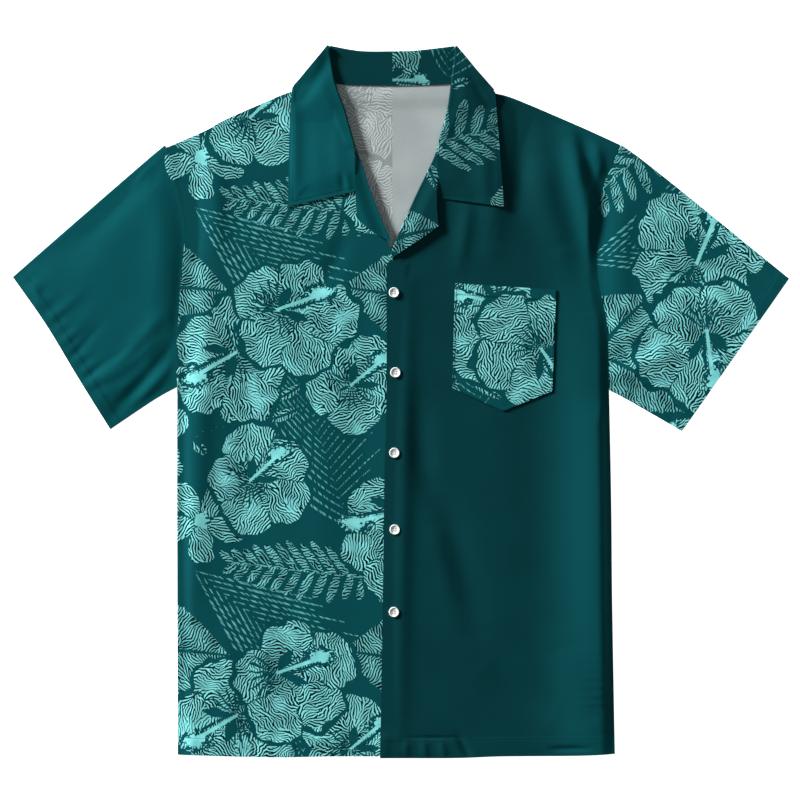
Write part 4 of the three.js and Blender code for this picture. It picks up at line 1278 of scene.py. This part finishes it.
def bloom(s, name):
    """A hibiscus: five ruffled petals, dark wedges at the throat, a column and the cluster at its end."""
    x, y, shape = s.attribute("petals_" + name)
    px, py, radius = s.attribute("throat_" + name)
    across, up = x * radius + shape * 210.0, y * radius
    place = s.vector(across, up)
    broad = s.noise(place, 19.0)
    other = s.noise(s.vector(up + 77.0, across), 15.0)
    ruffle = s.noise(place, 7.0)
    wx = x + (broad - 0.5) * 0.22 + (ruffle - 0.5) * 0.035
    wy = y + (other - 0.5) * 0.22 + (ruffle - 0.5) * 0.03
    reach = (wx * wx + wy * wy).root()
    petal = s.angle(wy, wx) * (5 / (2 * math.pi)) + shape
    cell = petal.floor()
    part = petal - cell - 0.5
    lobe = (part * math.pi).cos().kept(0.0, 1.0)
    varied = ((cell * 2.4 + shape * 3.0).sin()) * 0.07
    edge = reach - (0.79 + varied + 0.24 * lobe.power(0.6))
    angle = cell * 1.3 + shape * 4.0 + (other - 0.5) * 2.6 + (broad - 0.5) * 2.4
    seam = (0.5 - part.size()) * reach * 1.26
    seam_line = (seam < 0.013) * (reach > 0.42) * (broad > 0.44)
    # Strokes and wedges round the throat
    near = (px * px + py * py).root()
    turn = s.angle(py, px)
    stroke = (turn * 21.0 + (ruffle - 0.5) * 4.0).sin()
    sector = (turn * 2.0 + shape * 5.0).sin()
    ring_of_strokes = (near < 0.5 + 0.3 * (broad - 0.5)) * (near > 0.05)
    strokes = (stroke > near * 2.6 - 0.45) * (sector > -0.35) * ring_of_strokes

    def lens(degrees, start, length, width):
        a = math.radians(degrees)
        u = (px * math.cos(a) + py * math.sin(a) - start) / length
        v = (py * math.cos(a) - px * math.sin(a)).size()
        half = (u.kept(0.0, 1.0) * math.pi).sin() * (width + 0.25 * width * u)
        return (v < half + (ruffle - 0.5) * 0.03) * (u > 0.0) * (u < 1.0)

    wedge = s.most(lens(41, 0.03, 0.42, 0.085), lens(-37, 0.07, 0.5, 0.062))
    wedge = s.most(wedge, lens(168, 0.02, 0.24, 0.03))
    dark = s.most(s.most(wedge, strokes), seam_line)
    # The column with its shadow, and the cluster at its end
    bar = (py - (px * 0.02)).size() < 0.024 + 0.014 * px
    column = bar * (px > -0.02) * (px < 0.7)
    shadow = ((py + 0.062 + 0.02 * px).size() < 0.024) * (px > 0.04) * (px < 0.62) * (ruffle > 0.34)
    fine = s.noise(place, 4.2, 1.0)
    cx, cy = (px - 0.78) / 0.26, (py - 0.04 + (px - 0.78) * 0.2) / 0.155
    heap = (cx * cx + cy * cy).root() + (fine - 0.5) * 1.9
    cluster = s.most(heap < 0.62, (heap < 1.3) * (fine > 0.6) * (px > 0.72))
    ring = (heap < 1.12) * (1.0 - cluster)
    solid = s.most(column, cluster)
    inside = edge < 0.0
    fill = inside * (1.0 - s.most(s.most(dark, shadow), ring))
    sheen = s.noise(s.vector(across, up + 55.0), 24.0).ramp(0.56, 0.72)
    tone = 0.45 + (broad - 0.5) * 0.3 + 0.22 * sheen
    tone = tone - 0.08 * near.ramp(0.5, 0.12) + 0.05 * reach.ramp(0.5, 0.95)
    glow = s.most(0.74 + (other - 0.5) * 0.9 - 0.3 * near.ramp(0.55, 0.1), solid * (0.4 + fine * 0.4))
    return {
        "fill": fill, "cut": s.most(edge < 0.085, cluster), "solid": solid, "angle": angle, "tone": tone,
        "glow": glow, "x": across + (other - 0.5) * 5.0, "y": up + (broad - 0.5) * 5.0,
    }


def star(s):
    """A five-petalled flower of oval petals round a small solid middle."""
    x, y, radius = s.attribute("star")
    across, up = x * radius, y * radius
    broad = s.noise(s.vector(across, up), 16.0)
    petal = s.angle(y, x) * (5 / (2 * math.pi)) + 0.5
    cell = petal.floor()
    turn = (petal - cell - 0.5) * (2 * math.pi / 5) + (broad - 0.5) * 0.25
    reach = (x * x + y * y).root()
    u, v = reach * turn.cos(), reach * turn.sin()
    long = (u - 0.56 - 0.03 * (cell * 2.2).sin()) / 0.42
    wide = v / (0.27 + 0.1 * (u - 0.5))
    edge = (long * long + wide * wide).root() - 1.0 + (broad - 0.5) * 0.3
    lumps = s.noise(s.vector(across, up), 4.0)
    middle = reach - 0.17 - 0.02 * (s.angle(y, x) * 6.0).cos() - (lumps - 0.5) * 0.22
    return {
        "fill": edge < 0.0, "cut": s.most(edge < 0.12, middle < 0.05), "solid": middle < 0.0,
        "angle": cell * (2 * math.pi / 5) + 0.4 + (broad - 0.5) * 3.0, "x": across, "y": up + 300.0,
        "tone": 0.48 + (broad - 0.5) * 0.3, "glow": 0.65 + (broad - 0.5) * 0.8,
    }


def leaf(s):
    """A leaf with a dark midrib and slanting veins."""
    x, y, packed = s.attribute("leaf")
    length = packed.floor()
    half = packed - length
    across, up = x * length, y * length
    broad = s.noise(s.vector(across, up + length * 9.0), 15.0)
    ruffle = s.noise(s.vector(across, up), 4.5)
    run = x.kept(0.0, 1.0)
    width = half * (run.power(0.72) * math.pi).sin() + (ruffle - 0.5) * 0.05
    rib = y - (run * math.pi).sin() * 0.035
    edge = rib.size() - width
    midrib = rib.size() * length < 1.0 + 2.6 * (1.0 - run) * half * 2.0
    lean = s.math("SIGN", rib) * 0.95
    return {
        "fill": (edge < 0.0) * (1.0 - midrib), "cut": edge < 0.03, "solid": 0.0,
        "angle": lean + (broad - 0.5) * 2.6, "tone": 0.46 + (broad - 0.5) * 0.4,
        "glow": 0.42 + (broad - 0.5) * 0.9, "x": across, "y": up + 700.0,
    }


def fern(s):
    """A fern: round-ended leaflets on both sides of its stem, leaning towards the tip."""
    x, y, packed = s.attribute("fern")
    pitch = packed.floor() * 0.1
    count = (packed - packed.floor()) * 100.0
    across, up = x * pitch, y * pitch
    broad = s.noise(s.vector(across, up), 12.0)
    above = y > 0.0
    share = (x / count).kept(0.0, 1.0)
    lean = s.mixed(0.86, 0.08 + 0.62 * share, above)
    height = y.size()
    leaflet = x - height * lean + 0.3 * above
    cell = leaflet.floor()
    part = (leaflet - cell - 0.5) / (1.0 + lean * lean).root()
    long = 1.75 + 0.55 * (share * math.pi).sin() + 0.16 * (cell * 3.7).sin()
    long = long * (1.0 - 0.45 * share.power(3.0))
    rise = height / long
    half = 0.315 * (1.0 - rise.power(4.0)).kept(0.0, 1.0).root() * (0.62 + 0.38 * rise.ramp(0.0, 0.35))
    edge = part.size() - half + (broad - 0.5) * 0.06
    inside = (edge < 0.0) * (cell > -0.5) * (cell < count - 0.5) * (rise < 1.0)
    stem = (height < 0.10) * (x > 0.0) * (x < count)
    return {
        "fill": s.most(inside, stem), "cut": s.most(inside, stem), "solid": 0.0,
        "angle": s.mixed(-0.15, 0.55, above) + (broad - 0.5) * 3.0,
        "tone": 0.5 + (broad - 0.5) * 0.3, "glow": 0.34 + (broad - 0.5) * 1.0, "x": across, "y": up + 1100.0,
    }


def palm(s):
    """A palm frond: long thin blades, broken into dashes, that leave the stem in a V."""
    x, y, packed = s.attribute("palm")
    fan = packed > FAN / 2 / PALM_PITCH
    count = packed - fan * (FAN / PALM_PITCH)
    across, up = x * PALM_PITCH, y * PALM_PITCH
    height = y.size()
    share = (x / count).kept(0.0, 1.0)
    above = y > 0.0
    lean = s.mixed(s.mixed(0.35 + 0.6 * share, 0.8 + 1.5 * share, above), 2.3, fan)
    blade = (x - height * lean + height * height * 0.02) / s.mixed(s.mixed(1.0, 1.25, above), 1.6, fan)
    cell = blade.floor()
    part = (blade - cell - 0.5) / (1.0 + lean * lean).root()
    long = (6.0 + 1.2 * (cell * 2.9).sin()) * (1.1 - 0.5 * (cell / count).kept(0.0, 1.0))
    reach = height / long
    grain = s.noise(s.vector(cell * 7.0, height * 3.4, above), 1.0, 2.0)
    thick = 0.035 + 0.06 * (1.0 - cell / count).kept(0.0, 1.0) * (reach * math.pi).kept(0.0, math.pi).sin()
    inside = (part.size() < thick) * (reach < 1.0) * (cell > -0.5) * (cell < count) * (grain > 0.49)
    return {
        "fill": inside, "cut": inside, "solid": inside, "angle": 0.0,
        "tone": 0.5, "glow": 0.1 + (grain - 0.5) * 1.2, "x": across, "y": up + 1500.0,
    }


# Cloth's materials

# Where the painted highlight along the plain front's side starts and where it is full, in millimetres along X
PAINTED_SIDE_HIGHLIGHT = (135.0, 205.0)

# The print's dyes: its ground, what shows between the lines, and the lines. Its wrong side has two.
BACKGROUND = (0.001, 0.068, 0.078)
BETWEEN_LINES = (0.0005, 0.014, 0.017)
AQUA_DEEP = (0.06, 0.29, 0.295)
AQUA_BRIGHT = (0.27, 0.84, 0.84)
REVERSE_GROUND = (0.29, 0.335, 0.335)
REVERSE_LINES = (0.56, 0.62, 0.62)

# The weave, in metres from thread to thread and of relief
WEAVE_PITCH = 0.00055
WEAVE_RELIEF = 0.0002


def printed_cloth(name, reverse=False, painted_shade_scale=1.0):
    """Dark cloth printed with flowers and leaves drawn in contour lines, or its pale wrong side. Its last
    argument, below 1, darkens the dyes as painted shade.
    """
    s = Shader(name)
    state = {"fill": 0.0, "solid": 0.0, "angle": 0.0, "tone": 0.5, "glow": 0.5, "x": 0.0, "y": 0.0}
    motifs = [palm(s), fern(s), leaf(s), star(s), bloom(s, "under"), bloom(s, "over")]
    for motif in motifs:
        kept = 1.0 - motif["cut"]
        state["fill"] = motif["fill"] + kept * state["fill"]
        state["solid"] = s.most(kept * state["solid"], motif["solid"])
        for key in ("angle", "tone", "glow", "x", "y"):
            state[key] = s.mixed(state[key], motif[key], motif["cut"])
    lines = s.new("ShaderNodeTexGabor", gabor_type="2D")
    s.put(s.vector(state["x"], state["y"]), lines.inputs["Vector"])
    lines.inputs["Scale"].default_value = 1 / LINE_CELL
    lines.inputs["Frequency"].default_value = LINES
    lines.inputs["Anisotropy"].default_value = LINE_FLOW
    s.put(state["angle"] - math.pi / 2, lines.inputs["Orientation"])
    phase = (Number(s, lines.outputs["Phase"]) - 0.5).size()
    half = state["tone"].kept(0.2, 0.86) * 0.5
    inked = phase.ramp(half + LINE_EDGE, half - LINE_EDGE)
    px, py, _ = s.attribute("cloth")
    place = s.vector(px * 1000.0, py * 1000.0)
    worn = s.noise(place, 9.0, 2.0)
    glow = (state["glow"] + (worn - 0.5) * 0.3).kept(0.0, 1.0)
    # Dyes scaled below 1 here are painted shade, darkening the print on the collar and lapel.
    deep, bright, ground = [
        tuple(painted_shade_scale * part for part in dye) for dye in (AQUA_DEEP, AQUA_BRIGHT, BACKGROUND)
    ]
    aqua = s.colour(deep, bright, glow)
    lined = s.colour(BETWEEN_LINES, aqua, s.most(inked, state["solid"]))
    base = s.colour(ground, lined, s.most(state["fill"], state["solid"]).kept(0.0, 1.0))
    if reverse:
        shown = s.most(inked * state["fill"].kept(0.0, 1.0), state["solid"])
        base = s.colour(REVERSE_GROUND, REVERSE_LINES, shown)
    s.put(base, s.surface.inputs["Base Color"])
    finish(s, place)
    return s.material


def finish(s, place):
    """The weave, as a fine bump, and the dull sheen of cotton."""
    x, y, _ = s.attribute("cloth")
    turns = 2 * math.pi / WEAVE_PITCH
    weave = (x * turns).sin() * (y * turns).sin()
    slub = s.noise(place, 1.6, 2.0)
    bump = s.new("ShaderNodeBump")
    bump.inputs["Strength"].default_value = 0.25
    bump.inputs["Distance"].default_value = WEAVE_RELIEF
    s.put(weave * 0.5 + slub, bump.inputs["Height"])
    s.tree.links.new(bump.outputs[0], s.surface.inputs["Normal"])
    s.surface.inputs["Roughness"].default_value = 0.85
    s.surface.inputs["Specular IOR Level"].default_value = 0.05


def plain_cloth(name, dark, light, side=None):
    """Plain dyed cloth, a little uneven in colour, with a painted highlight that lightens it towards the side
    seam where side gives that colour.
    """
    s = Shader(name)
    x, y, _ = s.attribute("cloth")
    place = s.vector(x * 1000.0, y * 1000.0)
    uneven = s.noise(place, 55.0, 3.0) * 0.6 + s.noise(place, 1.3, 2.0) * 0.4
    dye = s.colour(dark, light, uneven.ramp(0.3, 0.7))
    # Painted highlight: the dye lightens towards the side seam, standing in for light falling on the cloth's
    # side.
    if side:
        dye = s.colour(dye, side, (x * 1000.0).ramp(PAINTED_SIDE_HIGHLIGHT[0], PAINTED_SIDE_HIGHLIGHT[1]))
    s.put(dye, s.surface.inputs["Base Color"])
    finish(s, place)
    return s.material


# Buttons


def button(name, box, material):
    """A lathe-turned four-hole button with a raised rim."""
    low, high = box
    centre = [(low[k] + high[k]) / 2 / MM for k in (0, 1)]
    base = low[2] / MM
    height = (high[2] - low[2]) / MM
    radius = (high[0] - low[0]) / 2 / MM
    profile = [(radius * r, height * z) for r, z in BUTTON_PROFILE]
    body = lathe(name, profile, centre, base, BUTTON_SEGMENTS)
    for i in (-1, 1):
        for j in (-1, 1):
            cutter = lathe(
                "cutter",
                [(0.0, -1.0), (HOLE_RADIUS, -1.0), (HOLE_RADIUS, height + 1.0), (0.0, height + 1.0)],
                (centre[0] + i * HOLE_PITCH, centre[1] + j * HOLE_PITCH), base, HOLE_SEGMENTS,
            )
            cut = body.modifiers.new("hole", "BOOLEAN")
            cut.operation = "DIFFERENCE"
            cut.object = cutter
            bpy.context.view_layer.objects.active = body
            bpy.ops.object.modifier_apply(modifier="hole")
            bpy.data.objects.remove(cutter)
    body.data.shade_smooth()
    body.data.set_sharp_from_angle(angle=math.radians(SHARP_BUTTON))
    body.data.materials.append(material)
    return body


def lathe(name, profile, centre, base, segments):
    """A closed turned solid. The profile runs from the axis at the bottom to the axis at the top."""
    rings = profile[1:-1]
    turn = np.linspace(0, 2 * math.pi, segments, endpoint=False)
    points = [(centre[0], centre[1], base + profile[0][1])]
    for r, z in rings:
        points += [(centre[0] + r * math.cos(a), centre[1] + r * math.sin(a), base + z) for a in turn]
    points.append((centre[0], centre[1], base + profile[-1][1]))
    last = len(points) - 1
    faces = [(0, 1 + (k + 1) % segments, 1 + k) for k in range(segments)]
    for ring in range(len(rings) - 1):
        start = 1 + ring * segments
        for k in range(segments):
            near, far = start + k, start + (k + 1) % segments
            faces.append((near, far, far + segments, near + segments))
    start = 1 + (len(rings) - 1) * segments
    faces += [(start + k, start + (k + 1) % segments, last) for k in range(segments)]
    mesh = bpy.data.meshes.new(name)
    mesh.from_pydata([tuple(c * MM for c in p) for p in points], [], faces)
    return placed(name, mesh)


def plain(name, colour, rough, shine=0.5):
    """An even material."""
    material = bpy.data.materials.new(name)
    material.use_nodes = True
    shader = material.node_tree.nodes["Principled BSDF"]
    shader.inputs["Base Color"].default_value = (*colour, 1)
    shader.inputs["Roughness"].default_value = rough
    shader.inputs["Specular IOR Level"].default_value = shine
    return material


# The stage: floor, lights and a camera straight above

# How far the floor lies below the cloth, in millimetres
FLOOR_DROP = 0.2

# The camera, in metres: its place, and the width of what it sees at the floor
CAMERA = (-0.0011, 0.00165, 4.0)
VIEW_WIDTH = 0.88
SENSOR = 36

# Suns: place, angle of their disc, and strength
SUNS = {"key": ((-2.6, 1.75, 0.92), 0.2, 8.2), "fill": ((1.0, -0.6, 3.4), 1.2, 0.25)}
ROOM_LIGHT = 0.12


def build_stage():
    """A white floor that is clear from below, two suns and a camera straight above."""
    bpy.ops.mesh.primitive_plane_add(size=12, location=(0, 0, -FLOOR_DROP * MM))
    floor = bpy.context.object
    floor.name = "floor"
    white = plain("white_floor", (0.9, 0.9, 0.9), 0.9)
    glow = white.node_tree.nodes["Principled BSDF"]
    glow.inputs["Emission Color"].default_value = (1, 1, 1, 1)
    glow.inputs["Emission Strength"].default_value = 1.0
    nodes, links = white.node_tree.nodes, white.node_tree.links
    clear = nodes.new("ShaderNodeBsdfTransparent")
    facing = nodes.new("ShaderNodeNewGeometry")
    either = nodes.new("ShaderNodeMixShader")
    links.new(facing.outputs["Backfacing"], either.inputs[0])
    links.new(glow.outputs[0], either.inputs[1])
    links.new(clear.outputs[0], either.inputs[2])
    links.new(either.outputs[0], nodes["Material Output"].inputs["Surface"])
    floor.data.materials.append(white)
    camera = placed("camera", bpy.data.cameras.new("camera"))
    camera.location = CAMERA
    camera.data.sensor_width = SENSOR
    camera.data.lens = SENSOR * CAMERA[2] / VIEW_WIDTH
    camera.data.clip_end = 50
    bpy.context.scene.camera = camera
    for name, (place, angle, power) in SUNS.items():
        light = bpy.data.lights.new(name, "SUN")
        light.angle = angle
        light.energy = power
        lamp = placed(name, light)
        lamp.location = place
        lamp.rotation_euler = (-Vector(place)).to_track_quat("-Z", "Y").to_euler()
    world = bpy.data.worlds.new("room")
    bpy.context.scene.world = world
    world.use_nodes = True
    background = world.node_tree.nodes["Background"]
    background.inputs["Color"].default_value = (1, 1, 1, 1)
    background.inputs["Strength"].default_value = ROOM_LIGHT
    bpy.context.scene.view_settings.view_transform = "Standard"


# Assembly, from the surface up

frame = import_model()
build_stage()

# The body cloth is a darker copy of the trim cloth, as painted shade, with a painted highlight along the
# front's side. The trim cloth is the same cloth, lighter.
teal_body_painted_shade = plain_cloth(
    "plain_body_cloth_painted_shade_and_highlight", (0.0006, 0.037, 0.043), (0.0009, 0.044, 0.051), side=(0.0011, 0.064, 0.074)
)
teal_trim = plain_cloth("plain_trim_cloth", (0.0012, 0.082, 0.094), (0.0016, 0.094, 0.108))
printed = printed_cloth("printed_cloth")
# Painted shade: the print on the collar and lapel is the same print with darker dyes.
printed_collar_painted_shade = printed_cloth("printed_collar_cloth_painted_shade", painted_shade_scale=0.6)
printed_reverse = printed_cloth("printed_reverse", reverse=True)
plain_reverse = plain_cloth("plain_reverse", (0.36, 0.41, 0.41), (0.46, 0.51, 0.51))
plastic = plain("button_plastic", (0.86, 0.88, 0.86), 0.35)
thread = {
    "plain_cloth": plain("plain_thread", (0.0008, 0.032, 0.037), 0.9, 0.05),
    "printed_cloth": plain("printed_thread", (0.0008, 0.04, 0.045), 0.9, 0.05),
}
white_thread = plain("white_thread", (0.8, 0.8, 0.79), 0.6)

# Painted shade: the right stand takes the darker body cloth, and the left collar, stand and lapel take the
# darker printed copy.
CLOTH = {
    "right": {
        "panel": printed, "panel_back": printed_reverse, "panel_slot": "printed_cloth",
        "trim": teal_trim, "trim_back": plain_reverse, "trim_slot": "plain_cloth",
        "collar": teal_trim, "stand": teal_body_painted_shade,
    },
    "left": {
        "panel": teal_body_painted_shade, "panel_back": plain_reverse, "panel_slot": "plain_cloth",
        "trim": printed, "trim_back": printed_reverse, "trim_slot": "printed_cloth",
        "collar": printed_collar_painted_shade, "stand": printed_collar_painted_shade,
    },
}

backs, fronts, collars = {}, {}, {}
back_relief = Relief()
for name, side in SIDES.items():
    plan = back_plan(side, COARSE)
    over_fall = smooth(plan[..., 1], *FALL_RISE)
    fall_end = abs(side["crease_end"][0] - CENTRE_BACK)
    across = smooth(np.abs(plan[..., 0] - CENTRE_BACK), fall_end + 14, fall_end - 4)
    backs[name] = raised(plan, (COLLAR + 0.15) * over_fall * across)
    back_relief.lay(lifted(backs[name], PANEL))
front_relief = back_relief.copied()
for name, side in SIDES.items():
    plan = front_plan(side, FINE)
    z = front_height(side, "front_" + name, plan)
    if name == "left":
        z = np.maximum(z, front_relief.under(plan, 5.0) + CLEAR)
    fronts[name] = raised(plan, z)
    front_relief.lay(lifted(fronts[name], PANEL))

for name, side in SIDES.items():
    cloth = CLOTH[name]
    panel_slot, trim_slot = cloth["panel_slot"], cloth["trim_slot"]
    shell = Shell("back_panel_" + name)
    shell.add(lifted(backs[name], PANEL), backs[name], side=0)
    back = shell.make([cloth["panel_back"], cloth["panel"]], ["back_" + name])
    shell = Shell("front_panel_" + name)
    top = lifted(fronts[name], PANEL)
    shell.add(top, fronts[name], side=0)
    front = shell.make([cloth["panel"], cloth["panel_back"]], ["front_" + name])
    hem_line = trimmed(rows_at(top, HEM_DEPTH - STITCH_INSET), 2, 2)
    hem = sew("hem_stitches_" + name, [hem_line], STITCH_LENGTH, thread[panel_slot])
    shell = Shell("sleeve_tube_" + name)
    outer, inner, prints = sleeve_grids(side, name)
    shell.add(outer, inner, prints)
    sleeve = shell.make([cloth["trim"], cloth["trim_back"]], ["sleeve_" + name])
    upper = outer[::-1, outer.shape[1] // 2 + NOSE_STEPS:]
    cuff_line = trimmed(rows_at(upper, CUFF_DEPTH - STITCH_INSET), 2, 2)
    cuff = sew("cuff_stitches_" + name, [cuff_line], STITCH_LENGTH, thread[trim_slot])
    shell = Shell("collar_half_" + name)
    grids = collar_grids(side, name, front_relief)
    for part, dye in (("leaf", 0), ("front", 0), ("behind", 2)):
        shell.add(*grids[part], side=dye)
    dyes = [cloth["collar"], cloth["collar"], cloth["stand"], cloth["stand"]]
    collar = shell.make(dyes, ["collar_" + name])
    leaf_top = grids["top"]
    edge_lines = [
        trimmed(rows_at(leaf_top, COLLAR_STITCH), COLLAR_STITCH, 2),
        trimmed(rows_at(leaf_top.transpose(1, 0, 2), COLLAR_STITCH), COLLAR_STITCH, 2),
    ]
    edge = sew("collar_stitches_" + name, edge_lines, STITCH_LENGTH, thread[trim_slot])
    shell = Shell("lapel_facing_" + name)
    shell.add(*lapel_grids(side, front_relief))
    lapel = shell.make([cloth["collar"], cloth["collar"]], ["lapel_" + name])
    for thing, table in (
        (back, "back"), (front, "front"), (sleeve, "sleeve"), (collar, "collar"), (lapel, "collar"),
    ):
        lay_print(thing.data, table)

pocket = pocket_sheet(front_relief)
shell = Shell("patch_pocket")
pocket_top = lifted(pocket, PANEL)
shell.add(pocket_top, pocket)
patch_pocket = shell.make([printed, printed_reverse], ["pocket"])
lay_print(patch_pocket.data, "pocket")
sides = pocket_top.transpose(1, 0, 2)
pocket_lines = [
    trimmed(rows_at(pocket_top, POCKET_STITCH), POCKET_STITCH, POCKET_STITCH),
    trimmed(rows_at(sides, POCKET_STITCH), POCKET_STITCH, 0),
    trimmed(rows_at(sides[::-1], POCKET_STITCH), POCKET_STITCH, 0),
    trimmed(rows_at(pocket_top[::-1], POCKET_HEM), POCKET_STITCH, POCKET_STITCH),
]
stitches = sew("pocket_stitches", pocket_lines, STITCH_LENGTH, thread["printed_cloth"])

for k in range(1, BUTTONS + 1):
    node = f"button_{k}"
    low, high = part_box(node)
    made = button(f"shirt_{node}", (low, high), plastic)
    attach(made, "root")
    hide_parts(node)
    x, y = [(low[i] + high[i]) / 2 / MM for i in (0, 1)]
    z = low[2] / MM + (high[2] - low[2]) / MM * BUTTON_WELL + 0.15
    reach = np.array([HOLE_PITCH + 0.2, 0, 0])
    bars = []
    for j in (-1, 1):
        middle = np.array([x, y + j * HOLE_PITCH, z])
        bars.append(np.array([middle - reach, middle + reach]))
    sew(f"thread_{node}", bars, 2 * HOLE_PITCH + 0.2, white_thread)
